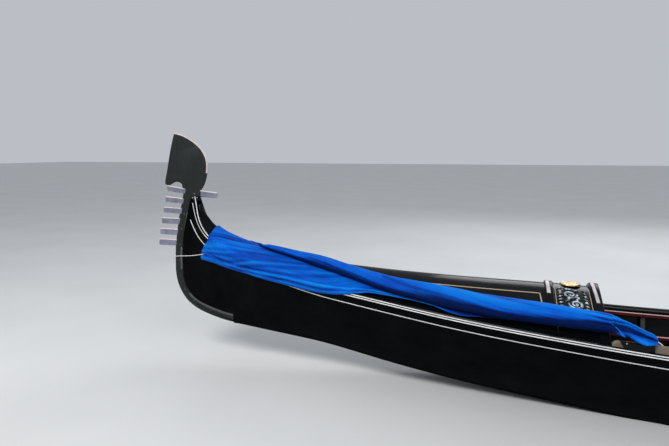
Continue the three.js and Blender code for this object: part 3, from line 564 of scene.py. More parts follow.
def carved_varnish():
    """Black varnish over carving, the crests painted pale blue-grey as a highlight."""
    s = Shade("carved varnish, painted highlights", rough=0.16, colour=(0.003, 0.0035, 0.005), coat=0.05, coat_rough=0.05, specular=0.18)
    highlight_patch_noise = s.noise(size=42, detail=6, rough=0.65)
    # painted highlight: where the carving stands high (tone), in noise patches, the black turns pale blue-grey
    crest = s.math("MULTIPLY", s.ramp(s.tone(), [(0.55, 0.0), (0.80, 1.0)]), s.ramp(highlight_patch_noise, [(0.42, 0.08), (0.60, 1.0)]))
    s.base(s.mix(crest, (0.0016, 0.0020, 0.0028), (0.58, 0.70, 0.80)))
    s.rough(s.ramp(highlight_patch_noise, [(0.3, 0.12), (0.75, 0.30)]))
    s.normal(s.bump(highlight_patch_noise, 0.15, 0.0008))
    return s.m


carve_black = carved_varnish()
seat_black = gloss_black("seat lacquer", rough=0.15, wave=0.3, scuff=0.5)
line_white = painted("white line paint", (0.76, 0.77, 0.77), rough=0.42, chip=0.4, under=(0.12, 0.12, 0.12), scale=2.5)
strip_pale = painted("pale strip paint", (0.50, 0.45, 0.47), rough=0.40, chip=0.35, under=(0.24, 0.17, 0.15), scale=1.8)
line_tan = painted("gilt line paint", (0.40, 0.31, 0.19), rough=0.45, chip=0.4, under=(0.04, 0.03, 0.02), scale=2.5)
# a glossy red moulding, painted pink as its highlight
bead_pink_highlight = painted("red bead, painted pink highlight", (0.66, 0.43, 0.42), rough=0.40, chip=0.35, under=(0.20, 0.04, 0.04), scale=2.5)
red_dark = painted("dark red paint", (0.075, 0.005, 0.010), rough=0.33, chip=0.35, under=(0.02, 0.008, 0.006), coat=0.35)
red_panel = painted("panel red paint", (0.15, 0.010, 0.012), rough=0.30, chip=0.2, under=(0.03, 0.01, 0.01), coat=0.4)
bilge = painted("bilge paint", (0.012, 0.006, 0.006), rough=0.5, chip=0.4, under=(0.03, 0.022, 0.018), coat=0.0)
gilt = metal("gilding", (0.86, 0.66, 0.34), rough=0.34, dark=0.3, spots=0.45, patina=(0.20, 0.10, 0.03))
brass = metal("brass", (0.78, 0.53, 0.20), rough=0.24, dark=0.35, spots=0.35, patina=(0.16, 0.10, 0.04))
dark_iron = metal("blackened iron", (0.013, 0.0165, 0.017), rough=0.45, dark=0.35, spots=0.5, patina=(0.009, 0.009, 0.009), metallic=0.45)
bare_iron = metal("polished iron", (0.35, 0.36, 0.46), rough=0.33, dark=0.30, spots=0.55, patina=(0.13, 0.14, 0.15))
# pale and hardly metallic: the worn bare edges, lightened further as a painted highlight
edge_iron = metal("worn iron edge, painted highlight", (0.66, 0.59, 0.56), rough=0.45, dark=0.25, spots=0.35, patina=(0.18, 0.15, 0.13), metallic=0.25)
band_iron = metal("rubbed iron band", (0.085, 0.092, 0.090), rough=0.45, dark=0.3, spots=0.4, patina=(0.03, 0.03, 0.03), metallic=0.4)
tan_wood = wood("tan oak", (0.190, 0.150, 0.105), (0.095, 0.074, 0.050), rough=0.55, wear=0.35, worn=(0.17, 0.16, 0.145))
thwart_wood = wood("varnished thwart oak", (0.30, 0.165, 0.075), (0.13, 0.062, 0.026), rough=0.30, coat=0.5, along="Y")
board_wood = wood("floor larch", (0.25, 0.19, 0.135), (0.12, 0.085, 0.056), rough=0.62, wear=0.5, worn=(0.33, 0.29, 0.24))
walnut_wood = wood("walnut", (0.20, 0.095, 0.042), (0.075, 0.034, 0.016), rough=0.34, coat=0.35, along="Z", grain=1.4)


def hide_material():
    s = Shade("black leather", rough=0.42, colour=(0.012, 0.011, 0.010), coat=0.15, coat_rough=0.3)
    pebble = s.cells(size=420)
    crease = s.noise(size=26, detail=5, rough=0.6)
    s.base(s.ramp(crease, [(0.3, (0.007, 0.0065, 0.006)), (0.6, (0.014, 0.012, 0.011)), (0.85, (0.035, 0.030, 0.027))]))
    s.rough(s.ramp(crease, [(0.35, 0.33), (0.75, 0.58)]))
    s.normal(s.bump(pebble, 0.35, 0.0006, under=s.bump(crease, 0.25, 0.002)))
    return s.m


def velvet_material():
    s = Shade("red velvet", rough=0.85, colour=(0.24, 0.006, 0.014), sheen=0.9, sheen_rough=0.35, specular=0.2)
    s.b.inputs["Sheen Tint"].default_value = (0.95, 0.25, 0.25, 1)
    pile = s.noise(size=650, detail=2)
    nap = s.noise(size=14, detail=5, rough=0.6)
    col = s.ramp(nap, [(0.30, (0.13, 0.003, 0.008)), (0.55, (0.26, 0.008, 0.016)), (0.80, (0.40, 0.020, 0.030))])
    s.base(col)
    s.normal(s.bump(pile, 0.5, 0.0007, under=s.bump(nap, 0.25, 0.003)))
    return s.m


def canvas_material():
    """Royal blue sailcloth: plain weave, a painted highlight along the crests and painted shade where it lies low, soft
    sheen.
    """
    s = Shade("blue canvas", rough=0.66, colour=(0.001, 0.075, 0.46), sheen=0.04, sheen_rough=0.4, specular=0.06)
    s.b.inputs["Sheen Tint"].default_value = (0.35, 0.60, 1.0, 1)
    weft = s.wave(size=330, distortion=0.3, detail=1, bands="X")
    warp = s.wave(size=330, distortion=0.3, detail=1, bands="Z")
    weave = s.math("MULTIPLY", weft, warp)
    cloud = s.noise(size=4.5, detail=6, rough=0.6)
    col = s.ramp(cloud, [(0.28, (0.0003, 0.042, 0.34)), (0.52, (0.0004, 0.072, 0.46)), (0.78, (0.0006, 0.110, 0.57))])
    # painted highlight: high tone lightens the blue
    crest = s.ramp(s.tone(), [(0.0, 0.0), (0.5, 0.0), (1.0, 1.0)])
    col = s.mix(s.math("MULTIPLY", crest, 0.60), col, (0.0015, 0.26, 0.80))
    # painted shade: low tone darkens the blue to near black
    hollow_shade = s.ramp(s.tone(), [(0.0, 1.0), (0.45, 0.0)])
    col = s.mix(s.math("MULTIPLY", hollow_shade, 0.93), col, (0.0003, 0.0045, 0.046))
    s.base(col)
    s.rough(s.ramp(cloud, [(0.3, 0.62), (0.8, 0.82)]))
    crumple = s.bump(s.noise(scale=(0.22, 1.5, 1.5), size=24, detail=6, rough=0.62), 0.55, 0.005)
    s.normal(s.bump(weave, 0.25, 0.0004, under=crumple))
    return s.m


def cord_material():
    s = Shade("white cord", rough=0.8, colour=(0.72, 0.70, 0.66), sheen=0.2)
    lay = s.noise(size=180, detail=4)
    s.base(s.ramp(lay, [(0.3, (0.42, 0.40, 0.37)), (0.6, (0.76, 0.74, 0.70))]))
    s.normal(s.bump(lay, 0.4, 0.001))
    return s.m


leather, velvet, canvas, cord_white = hide_material(), velvet_material(), canvas_material(), cord_material()

floor_shade = Shade("studio floor", rough=0.55, colour=(0.62, 0.63, 0.63))
floor_shade.base(floor_shade.ramp(floor_shade.noise(size=0.8, detail=3), [(0.3, (0.585, 0.595, 0.60)), (0.7, (0.63, 0.64, 0.645))]))

# ------------------------------------------------------------------ studio floor at the waterline
mesh = bpy.data.meshes.new("studio_floor")
# the floor stops inside the planking, so that it does not fill the boat
wet = [x for x in np.linspace(-3.6, 3.0, 661) if keelAt(x) + BOTTOM / 2 < 0]
rows = [(x, float(inner_y(x, 0.0, 1)) + PLANK / 2, -float(inner_y(x, 0.0, -1)) - PLANK / 2) for x in np.linspace(wet[0], wet[-1], 120)]
v = [q for x, p, st in rows for q in ((x, 60, 0), (x, p, 0), (x, st, 0), (x, -60, 0))]
f = [(4 * i + k, 4 * i + k + 1, 4 * i + k + 5, 4 * i + k + 4) for i in range(len(rows) - 1) for k in (0, 2)]
v += [(-60, 60, 0), (-60, -60, 0), (60, -60, 0), (60, 60, 0)]
m = 4 * len(rows)
f += [(m, m + 1, 3, 2, 1, 0), (m - 4, m - 3, m - 2, m - 1, m + 2, m + 3)]
mesh.from_pydata(v, [], f)
floor_obj = bpy.data.objects.new("studio_floor", mesh)
scene.collection.objects.link(floor_obj)
mesh.materials.append(floor_shade.m)


def dress(node, material, bevel=0.0, seg=2, angle=30):
    """A CAD node keeps its mesh: new finish, eased edges."""
    o = NODES[node]
    o = bpy.data.objects[o] if isinstance(o, str) else o
    if not o.material_slots:
        o.data.materials.append(material)
    for slot in o.material_slots:
        slot.material = material
    if bevel:
        b = o.modifiers.new("eased edges", "BEVEL")
        b.width, b.segments, b.limit_method, b.angle_limit = bevel, seg, "ANGLE", math.radians(angle)
        b.harden_normals = False
    return o


# ------------------------------------------------------------------ hull
smooth_place = monotone(GIRTH, np.arange(NR, dtype=float))


def skin(s, v, side):
    """Outer face of the planking: places s (m), height shares v (n); returns m x n x 3."""
    s, v = np.atleast_1d(np.asarray(s, float)), np.atleast_1d(np.asarray(v, float))
    r, soft = rib(s), smooth_place(girth_of(s))
    c = 1 if side > 0 else 2
    T, L = r[:, [0, c, 3]], r[:, [4, 4 + c, 7]]
    p = L[:, None, :] + (T - L)[:, None, :] * v[None, :, None]
    p[:, :, 1] += 0.24 * v * (1 - v) * (T[:, 1] - L[:, 1])[:, None]
    for post, first, last in ((_stem, FIRST, 0), (_post, LAST, NR - 1)):
        t = np.clip((soft - first) / (last - first), 0, 1)
        if not (t > 0).any():
            continue
        line, e = post(v), RIBS[last]
        eT, eL = post([1.0])[0], np.array([e[4], e[7]])
        chord = eL + (eT - eL) * v[:, None]
        w = t ** 1.6
        p[:, :, 0] += w[:, None] * (line - chord)[:, 0]
        p[:, :, 2] += w[:, None] * (line - chord)[:, 1]
        end = np.clip((t - 0.8) / 0.2, 0, 1) ** 2
        p[:, :, 0] += end[:, None] * v * (eT[0] - e[0])
    p[:, :, 1] *= side
    return p


def places(g0, g1, step):
    n = max(2, int(round((g1 - g0) / step)) + 1)
    return np.interp(np.linspace(g0, g1, n), GIRTH, np.arange(NR))


bow_g, stern_g = GIRTH[FIRST] + 0.6, GIRTH[LAST] - 0.2
S_ALL = np.unique(np.concatenate([places(0, bow_g, 0.022), places(bow_g, stern_g, 0.055), places(stern_g, GIRTH[-1], 0.03)]))
SEAMS = (0.36, 0.66)


def planking(side, name, node):
    r, up = rib(S_ALL), up_of(S_ALL)
    c = 1 if side > 0 else 2
    deep = np.abs(r[:, 3] - r[:, 7])
    vs = [0.0, 0.04, 0.09, 0.15, 0.21, 0.27, 0.32] + [0.36 + d for d in (-0.012, -0.004, 0.0, 0.004, 0.012)] + [0.42, 0.48, 0.54, 0.60]
    vs += [0.66 + d for d in (-0.012, -0.004, 0.0, 0.004, 0.012)] + [0.71, 0.77, 0.83, 0.89, 0.95, 1.0]
    v = np.array(vs)
    p = skin(S_ALL, v, side)
    # the lowest row stands on the bottom planking, the top one 20.5 mm under the sheer
    low_v = (BOTTOM + GAP) / deep
    top = np.stack([r[:, 0] - 0.0205 * up[:, 0], side * r[:, c], r[:, 3] - 0.0205 * up[:, 1]], 1)
    top[0] = (STEM[-1][0], side * r[0, c], STEM[-1][1] - 0.0205)
    for i in range(len(S_ALL)):
        lo = skin(S_ALL[i], low_v[i], side)[0, 0]
        fade = (1 - v) ** 6
        p[i] += fade[:, None] * (np.array([r[i, 4], lo[1], r[i, 7] + BOTTOM + GAP]) - p[i, 0])
        p[i] += (v ** 8)[:, None] * (top[i] - p[i, -1])
    for q in SEAMS:
        p[:, np.argmin(abs(v - q)), 1] -= side * 0.0005
    # hand-fitted planks are never quite fair
    wob = np.zeros(p.shape[:2])
    for k, (a, b, w) in enumerate(((0.9, 3.0, 0.0008), (1.9, 5.0, 0.0006), (3.7, 9.0, 0.0004))):
        wob += w * np.sin(a * p[:, :, 0] * 2 * math.pi + b * p[:, :, 2] * 2 * math.pi + k + side)
    env = np.clip(np.minimum(girth_of(S_ALL), GIRTH[-1] - girth_of(S_ALL)) / 0.6, 0, 1)[:, None] * (4 * v * (1 - v))[None, :] ** 0.5
    p[:, :, 1] += wob * env
    inner = p[:, ::-1].copy()
    inner[:, :, 1] -= side * PLANK
    rings = np.concatenate([p, inner], 1)
    o = finish_piece(Heap().tube(rings), name, hull_black, replaces=[node], angle=40)
    return o, p


port_hull, port_grid = planking(1, "port_planking", "hull_port_side")
star_hull, star_grid = planking(-1, "starboard_planking", "hull_starboard_side")


def bvh_of(*objects):
    v, f = [], []
    for o in objects:
        base = len(v)
        v += [q.co[:] for q in o.data.vertices]
        f += [[i + base for i in p.vertices] for p in o.data.polygons]
    return BVHTree.FromPolygons(v, f)


HULL_BVH = {1: bvh_of(port_hull), -1: bvh_of(star_hull)}


def on_hull(x, z, side):
    """Point of the hull's outer face seen square from the side, and its normal."""
    hit = HULL_BVH[side].ray_cast(Vector((x, side * 2.0, z)), Vector((0, -side, 0)))
    return (np.array(hit[0][:]), np.array(hit[1][:])) if hit[0] is not None else (None, None)


# bottom planking, one surface fore and aft in place of its lengths
heap = Heap()
r = rib(S_ALL)
ring = []
for i in range(len(S_ALL)):
    x, p, q, z = r[i, 4], r[i, 5], r[i, 6], r[i, 7]
    ring.append([(x, p, z + 0.003), (x, p - 0.003, z), (x, p * 0.5, z), (x, 0, z), (x, -q * 0.5, z), (x, -q + 0.003, z), (x, -q, z + 0.003), (x, -q, z + BOTTOM), (x, 0, z + BOTTOM), (x, p, z + BOTTOM)])
heap.tube(ring)
bottom = finish_piece(heap, "bottom_planking", hull_black, replaces=["bow_bottom", "fore_bottom", "middle_bottom", "aft_bottom", "stern_bottom"], angle=40)

dress("stem_post", hull_black, 0.004)
dress("stern_post", hull_black, 0.004)


def gunwale(side, name, node):
    r, up = rib(S_ALL), up_of(S_ALL)
    c = 1 if side > 0 else 2
    b = r[:, c]
    y0, y1 = b + RAIL_OUT - 0.0012, np.maximum(b - RAIL_IN, POST_HALF + 0.0015)
    e, rings = 0.0045, []
    for i in range(len(S_ALL)):
        pr = [(y1[i], 0.0), (y1[i], -RAIL_HIGH)]
        for k in range(5):
            a = math.pi / 2 * k / 4
            pr.append((y0[i] - e + e * math.sin(a), -RAIL_HIGH + e - e * math.cos(a)))
        for k in range(5):
            a = math.pi / 2 * k / 4
            pr.append((y0[i] - e + e * math.cos(a), -e + e * math.sin(a)))
        rings.append([(r[i, 0] + h * up[i, 0], side * y, r[i, 3] + h * up[i, 1]) for y, h in pr])
    finish_piece(Heap().tube(rings), name, rail_black, replaces=[node], angle=30)


gunwale(1, "port_gunwale_rail", "port_gunwale")
gunwale(-1, "starboard_gunwale_rail", "starboard_gunwale")


def gunwale_line(side, drop, s0=0.12, s1=NR - 1.15, width=0.0066, fan=0.0):
    """Painted bead along the gunwale, drop below its top, and fan lower still at the bow."""
    s = S_ALL[(S_ALL >= s0) & (S_ALL <= s1)]
    r, up = rib(s), up_of(s)
    b = r[:, 1 if side > 0 else 2] + RAIL_OUT - 0.0012
    low = drop + fan * np.clip((5.2 - s) / 4.2, 0, 1) ** 0.8
    path = np.stack([r[:, 0] - low * up[:, 0], side * b, r[:, 3] - low * up[:, 1]], 1)
    for i in np.flatnonzero(low > 0.0172):
        p, _ = on_hull(path[i, 0], path[i, 2], side)
        if p is not None:
            k = np.clip((0.0262 - low[i]) / 0.009, 0, 1)
            path[i, 1] = p[1] + (path[i, 1] - p[1]) * k
    n = np.tile([0.0, side, 0.0], (len(s), 1))
    return Heap().tube(sweep(path, n, half_round(width, 0.0012, foot=0.001 + 0.009 * (fan > 0))))


for side, tag in ((1, "port"), (-1, "starboard")):
    both = Heap()
    for h in (gunwale_line(side, 0.0036, s0=0.0), gunwale_line(side, 0.0168, s0=0.55, fan=0.020)):
        both.add(np.concatenate(h.v), h.f)
    finish_piece(both, tag + "_gunwale_lines", line_white, angle=50)

# the line on the hull's side, 80 mm under the sheer
for side, tag in ((1, "port"), (-1, "starboard")):
    path, normal = [], []
    r, up = rib(S_ALL), up_of(S_ALL)
    below = 0.080 + 0.013 * np.clip((6.5 - S_ALL) / 3.0, 0, 1)
    for i in range(len(S_ALL)):
        p, n = on_hull(r[i, 0] - below[i] * up[i, 0], r[i, 3] - below[i] * up[i, 1], side)
        if p is not None and p[2] <= (1.080 if p[0] > 0 else 1.5) and 0.35 < S_ALL[i] < NR - 1.5:
            path.append(p)
            normal.append(n if n[1] * side > 0 else -n)
    path, normal = np.array(path), np.array(normal)
    finish_piece(Heap().tube(sweep(path, normal, half_round(0.0072, 0.0013, foot=0.0012))), tag + "_side_line", line_white, angle=50)

# ------------------------------------------------------------------ irons
TEETH = np.array([
    [5403, 1303, 5550, 1324, 5552, 1281, 5409, 1263], [5419, 1226, 5568, 1237, 5571, 1194, 5428, 1183],
    [5438, 1147, 5589, 1153, 5592, 1109, 5449, 1102], [5457, 1067, 5610, 1069, 5613, 1021, 5466, 1020],
    [5474, 980, 5627, 983, 5630, 934, 5481, 931], [5487, 896, 5640, 897, 5644, 846, 5494, 848]]) / 1000
HEAD_TOP = np.array([[5419, 1335], [5447, 1351], [5477, 1351], [5503, 1341], [5525, 1328], [5546, 1326], [5566, 1332]]) / 1000
HEAD_FRONT = np.array([[5567, 1358], [5551, 1419], [5527, 1526], [5495, 1653], [5471, 1731]]) / 1000
HEAD_BACK = np.array([[5417, 1719], [5343, 1686], [5286, 1649], [5235, 1599], [5202, 1534], [5195, 1476], [5201, 1423], [5214, 1370], [5237, 1319], [5259, 1290]]) / 1000
BAND_FRONT = np.array([[5410, 1262], [5428, 1183], [5449, 1102], [5466, 1020], [5481, 931], [5494, 848], [5499, 762], [5501, 690], [5499, 617], [5481, 537], [5446, 464], [5394, 402], [5332, 359], [5251, 323], [5162, 296], [5073, 275], [4994, 264]]) / 1000
BAND_BACK = np.array([[5000, 270], [5117, 311], [5205, 345], [5295, 389], [5367, 451], [5409, 523], [5433, 604], [5438, 690], [5429, 794], [5417, 898], [5389, 1037], [5361, 1153], [5341, 1234]]) / 1000


def smooth_run(points, step=0.012):
    p = np.asarray(points, float)
    d = np.concatenate([[0], np.cumsum(np.linalg.norm(np.diff(p, axis=0), axis=1))])
    f = spline(d, p)
    return f(np.linspace(0, d[-1], max(3, int(d[-1] / step) + 1)))


def plate(outline, half, ease, name, material, replaces=(), seg=2, y=0.0):
    """Plate in X-Z with eased edges."""
    bm = bmesh.new()
    verts = [bm.verts.new((q[0], y - half, q[1])) for q in outline]
    face = bm.faces.new(verts)
    out = bmesh.ops.extrude_face_region(bm, geom=[face])
    for q in out["geom"]:
        if isinstance(q, bmesh.types.BMVert):
            q.co.y = y + half
    rim = [e for e in bm.edges if abs(e.verts[0].co.y - e.verts[1].co.y) < 1e-9]
    if ease:
        bmesh.ops.bevel(bm, geom=rim, offset=ease, segments=seg, profile=0.5, affect="EDGES", clamp_overlap=True)
    bmesh.ops.triangulate(bm, faces=[f for f in bm.faces if len(f.verts) > 4])
    bmesh.ops.recalc_face_normals(bm, faces=bm.faces[:])
    mesh = bpy.data.meshes.new(name)
    bm.to_mesh(mesh)
    bm.free()
    smooth_mesh(mesh, 40)
    mesh.materials.append(material)
    o = bpy.data.objects.new(name, mesh)
    scene.collection.objects.link(o)
    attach(o, "hull")
    if replaces:
        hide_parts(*replaces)
    return o


outline = np.concatenate([smooth_run(HEAD_FRONT), smooth_run(HEAD_BACK), [[5.1180, 1.2742], [5.1165, 1.2700], [5.1245, 1.2380], [5.1270, 1.2345], [5.2680, 1.2405], [5.3410, 1.2345]],
                          smooth_run(BAND_BACK[::-1])[1:], smooth_run(BAND_FRONT[::-1]), smooth_run(HEAD_TOP)])
iron = plate(outline, IRON_HALF, 0.0014, "bow_iron_blade", dark_iron, replaces=["bow_iron"])

heap = Heap()
for k, t in enumerate(TEETH):
    root_top, tip_top, tip_low, root_low = t[0:2], t[2:4], t[4:6], t[6:8]
    inset = 0.016
    d = (tip_top - root_top) / np.linalg.norm(tip_top - root_top)
    top = np.linspace(root_top - inset * d, tip_top - 0.010 * d, 9)
    low = np.linspace(root_low - inset * d, tip_low - 0.010 * d, 9)[::-1]
    mid = (tip_top + tip_low) / 2
    tip = [tip_top - 0.004 * d + (mid - tip_top) * 0.10, tip_top + (mid - tip_top) * 0.30, mid + 0.0006 * d, tip_low + (mid - tip_low) * 0.30, tip_low - 0.004 * d + (mid - tip_low) * 0.10]
    loop = np.concatenate([top, tip, low])
    centre = loop.mean(0)
    rings = []
    for y, w in ((-0.0066, 0.0), (-0.0066, 0.86), (-0.0052, 0.965), (-0.003, 1.0), (0.003, 1.0), (0.0052, 0.965), (0.0066, 0.86), (0.0066, 0.0)):
        ring = centre + (loop - centre) * (1 - (1 - w) * np.array([0.10, 0.45])[None, :]) if w else centre + (loop - centre) * 1e-3
        rings.append([(q[0], y, q[1]) for q in ring])
    heap.tube(rings, caps=True)
teeth = finish_piece(heap, "bow_iron_teeth", bare_iron, angle=28)

# the tooth that points aft, the top edges of the forward teeth, light as a painted highlight
AFT_TOOTH = np.array([[5262, 1243.5], [5124, 1234], [5115, 1275], [5257, 1289]]) / 1000
plate(AFT_TOOTH, IRON_HALF + 0.0009, 0.0022, "bow_iron_aft_tooth", bare_iron, seg=3)
heap = Heap()
for t in list(TEETH) + [np.array([5.258, 1.2895, 5.1165, 1.2755, 0, 0, 0, 0])]:
    a, b = t[0:2], t[2:4]
    d = (b - a) / np.linalg.norm(b - a)
    n = np.array([-d[1], d[0]]) * (1 if -d[1] * 0 + d[0] > 0 else -1)
    rings = []
    for q in (a - 0.004 * d, a + (b - a) * 0.5, b - 0.0015 * d):
        rings.append([(q[0] + n[0] * e, y, q[1] + n[1] * e) for y, e in ((-0.0071, -0.0058), (-0.0071, -0.0008), (-0.0060, 0.0006), (0.0060, 0.0006), (0.0071, -0.0008), (0.0071, -0.0058))])
    heap.tube(rings)
finish_piece(heap, "bow_iron_tooth_edges", edge_iron, angle=30)

# the band down the stem, its cheeks closed over the planks' ends: outer line and width
BAND_LINE = np.array([[5.398, 1.266], [5.412, 1.200], [5.430, 1.120], [5.4567, 1.020], [5.476, 0.940], [5.490, 0.850], [5.4985, 0.762], [5.5005, 0.690], [5.4985, 0.617], [5.4805, 0.537], [5.4455, 0.464],
                      [5.3935, 0.402], [5.3315, 0.359], [5.2505, 0.323], [5.1615, 0.296], [5.0725, 0.275], [4.996, 0.264]])
BAND_WIDE = [[1.266, 0.050], [1.12, 0.060], [0.94, 0.074], [0.70, 0.083], [0.26, 0.080]]
line = smooth_run(BAND_LINE, 0.010)
d = np.gradient(line, axis=0)
d /= np.linalg.norm(d, axis=1)[:, None]
inward = np.stack([d[:, 1], -d[:, 0]], 1)
if ((np.array([5.0, 0.9]) - line[len(line) // 3]) @ inward[len(line) // 3]) < 0:
    inward = -inward
wide = np.interp(line[:, 1], [q[0] for q in BAND_WIDE][::-1], [q[1] for q in BAND_WIDE][::-1])


def band_point(i, f, side, proud):
    q = line[i] + inward[i] * wide[i] * f
    p, _ = on_hull(q[0], q[1], side)
    y = max(IRON_HALF + 0.0004, (abs(p[1]) if p is not None else 0.0) + 0.0006)
    return np.array([q[0], side * (y + proud), q[1]])


cheeks, strip, bolts = Heap(), Heap(), Heap()
SHARES = np.concatenate([[0.0, 0.02], np.linspace(0.06, 0.98, 16), [1.0]])
for side in (1, -1):
    grid = np.array([[band_point(i, f, side, 0.0012 if 0.01 < f < 0.99 else 0.0) for f in SHARES] for i in range(len(line))])
    least = np.abs(grid[:, :, 1]).copy()
    for _ in range(3):
        grid[1:-1, 1:-1, 1] = 0.5 * grid[1:-1, 1:-1, 1] + 0.125 * (grid[2:, 1:-1, 1] + grid[:-2, 1:-1, 1] + grid[1:-1, 2:, 1] + grid[1:-1, :-2, 1])
        grid[:, :, 1] = side * np.maximum(np.abs(grid[:, :, 1]), least)
    inner = grid[:, ::-1].copy()
    inner[:, :, 1] -= side * 0.0022
    cheeks.tube(np.concatenate([grid, inner], 1))
    path = np.array([band_point(i, 0.87, side, 0.0010) for i in range(14, len(line))])
    path[1:-1, 1] = (path[:-2, 1] + path[1:-1, 1] + path[2:, 1]) / 3
    ws = wide[14:]
    t, n, b = frames_along(path, np.tile([0.0, side, 0.0], (len(path), 1)))
    pr = np.array(half_round(1.0, 1.0, foot=1.0))
    strip.tube(path[:, None, :] + pr[None, :, 0:1] * 0.0165 * b[:, None, :] + pr[None, :, 1:2] * np.where(pr[:, 1] < 0, 0.0010, 0.0016)[None, :, None] * n[:, None, :])
    for k in range(9):
        p = band_point(int(16 + k * (len(line) - 30) / 8), 0.42, side, 0.0010)
        bolts.turned([(0.0050, 0.0), (0.0050, side * 0.0008), (0.0038, side * 0.0018), (0.0015, side * 0.0024)], p, axis="Y", steps=16)
finish_piece(cheeks, "bow_iron_cheeks", dark_iron, angle=50)
finish_piece(strip, "bow_iron_back_strip", band_iron, angle=50)


def rim_bead(run, name_heap, w=0.0080, over=0.0010):
    """Worn edge that wraps the plate's rim, its brightness a painted highlight."""
    d = np.gradient(run, axis=0)
    d /= np.linalg.norm(d, axis=1)[:, None]
    out = np.stack([-d[:, 1], d[:, 0]], 1)
    h = IRON_HALF + 0.0005
    rings = []
    for q, o in zip(run, out):
        pr = [(-h, -w), (-h, 0.0), (-h + 0.0012, over), (h - 0.0012, over), (h, 0.0), (h, -w), (h - 0.0022, -w), (-h + 0.0022, -w)]
        rings.append([(q[0] + o[0] * e, y, q[1] + o[1] * e) for y, e in pr])
    name_heap.tube(rings)


heap = Heap()
for run in (smooth_run(np.concatenate([HEAD_FRONT[-1:], HEAD_BACK[:7]]), 0.006),):
    centre = np.array([5.38, 1.50])
    d = np.gradient(run, axis=0)
    out = np.stack([-d[:, 1], d[:, 0]], 1)
    if ((run - centre) * out).sum() < 0:
        run = run[::-1]
    rim_bead(run, heap)
finish_piece(heap, "bow_iron_rims", edge_iron, angle=40)

for side in (1, -1):
    bolts.turned([(0.0065, 0.0), (0.0065, side * 0.0012), (0.0048, side * 0.0028), (0.0018, side * 0.0036)], (5.3160, side * (IRON_HALF - 0.0002), 1.262), axis="Y", steps=20)
finish_piece(bolts, "bow_iron_rivets", band_iron, angle=40)

STERN_IRON = np.array([[-4950, 556], [-5066, 688], [-5142, 850], [-5179, 1020], [-5196, 1190], [-5198, 1207]]) / 1000
STERN_HEAD = np.array([[-5150, 1208], [-5158, 1238], [-5182, 1270], [-5212, 1290], [-5232, 1286], [-5240, 1262], [-5230, 1240], [-5222, 1190], [-5204, 1020], [-5166, 845], [-5086, 675], [-4962, 536]]) / 1000
plate(np.concatenate([smooth_run(STERN_IRON[:-1]), STERN_IRON[-1:], smooth_run(STERN_HEAD)]), IRON_HALF, 0.0014, "stern_iron_band", dark_iron, replaces=["stern_iron"])

# ------------------------------------------------------------------ decks
def half_at(s, side, inset=RAIL_IN + GAP):
    r = rib(s)
    return np.maximum(r[:, 1 if side > 0 else 2] - inset, 0.008)


def deck_point(x, y, rise=0.0):
    s = place_of(x)
    side = 1 if y > 0 else -1
    return deck(s, y / half_at(s, side)[0], rise)[0, 0]


def deck_normal(x, y):
    a, b = deck_point(x + 0.004, y), deck_point(x - 0.004, y)
    c, d = deck_point(x, y + 0.003), deck_point(x, y - 0.003)
    n = np.cross(a - b, c - d)
    return n / np.linalg.norm(n)


def deck_shell(sections, us, rises, thick, shifts=None):
    """Closed piece of deck: places along, shares across, rise of each section."""
    top = np.concatenate([deck(s, us, q) for s, q in zip(sections, rises)])
    up = up_of(sections)
    if shifts is not None:
        top[:, :, 0] += np.asarray(shifts)[:, None]
    low = top[:, ::-1].copy()
    thick = np.broadcast_to(thick, (len(sections),))
    low[:, :, 0] -= thick[:, None] * up[:, 0:1]
    low[:, :, 2] -= thick[:, None] * up[:, 1:2]
    return np.concatenate([top, low], 1)


US = np.sin(np.linspace(-1, 1, 45) * math.pi / 2) * 0.35 + np.linspace(-1, 1, 45) * 0.65
s_list = np.unique(np.concatenate([np.arange(1, 7, 0.25), place_of(np.arange(4.95, 2.745, -0.06)), [15.0]]))
finish_piece(Heap().tube(deck_shell(s_list, US, [0.0] * len(s_list), DECK)), "foredeck_planking", deck_black, replaces=["foredeck"], angle=35)
s_list = np.unique(np.concatenate([place_of(np.arange(-2.9205, -4.5, -0.06)), np.arange(LAST, NR - 2 + 0.01, 0.25)]))
finish_piece(Heap().tube(deck_shell(s_list, US, [0.0] * len(s_list), DECK)), "stern_deck_planking", deck_black, replaces=["stern_deck"], angle=35)


def beam(x0, x1, thick, name, node, lift=0.0):
    e = 0.004
    xs = [x0, x0 - 0.0012, x0 - e, (x0 + x1) / 2, x1 + e, x1 + 0.0012, x1]
    rise = [BEAM_RAISE - e, BEAM_RAISE - 0.0012, BEAM_RAISE, BEAM_RAISE, BEAM_RAISE, BEAM_RAISE - 0.0012, BEAM_RAISE - e]
    th = [thick - e, thick - 0.001, thick, thick, thick, thick - 0.001, thick - e]
    rise = [q + lift * (1 - np.abs(US)) ** 2.2 for q in rise]
    finish_piece(Heap().tube(deck_shell(place_of(xs), US, rise, np.array(th))), name, deck_black, replaces=[node], angle=50)


beam(2.7445, 2.6955, DECK + 0.016, "fore_beam", "fore_cross_beam", FORE_LIFT)
beam(2.4745, 2.4200, DECK + 0.024, "foredeck_end_moulding", "foredeck_end_beam", END_LIFT)
beam(-2.8600, -2.9195, DECK + 0.024, "stern_deck_moulding", "stern_deck_beam")


def band(points, rise, width, high, foot=0.001, lift=0.0):
    """Flat painted strip laid on a deck through (x, y) points."""
    path = []
    for x, y in points:
        u = abs(y) / half_at(place_of(x), 1 if y > 0 else -1)[0]
        path.append(deck_point(x, y, rise + lift * (1 - u) ** 2.2))
    path = np.array(path)
    n = np.array([deck_normal(x, y) for x, y in points])
    e = min(high, width / 4)
    return sweep(path, n, [(-width / 2, 0), (-width / 2 + e, high), (width / 2 - e, high), (width / 2, 0), (width / 2, -foot), (-width / 2, -foot)])


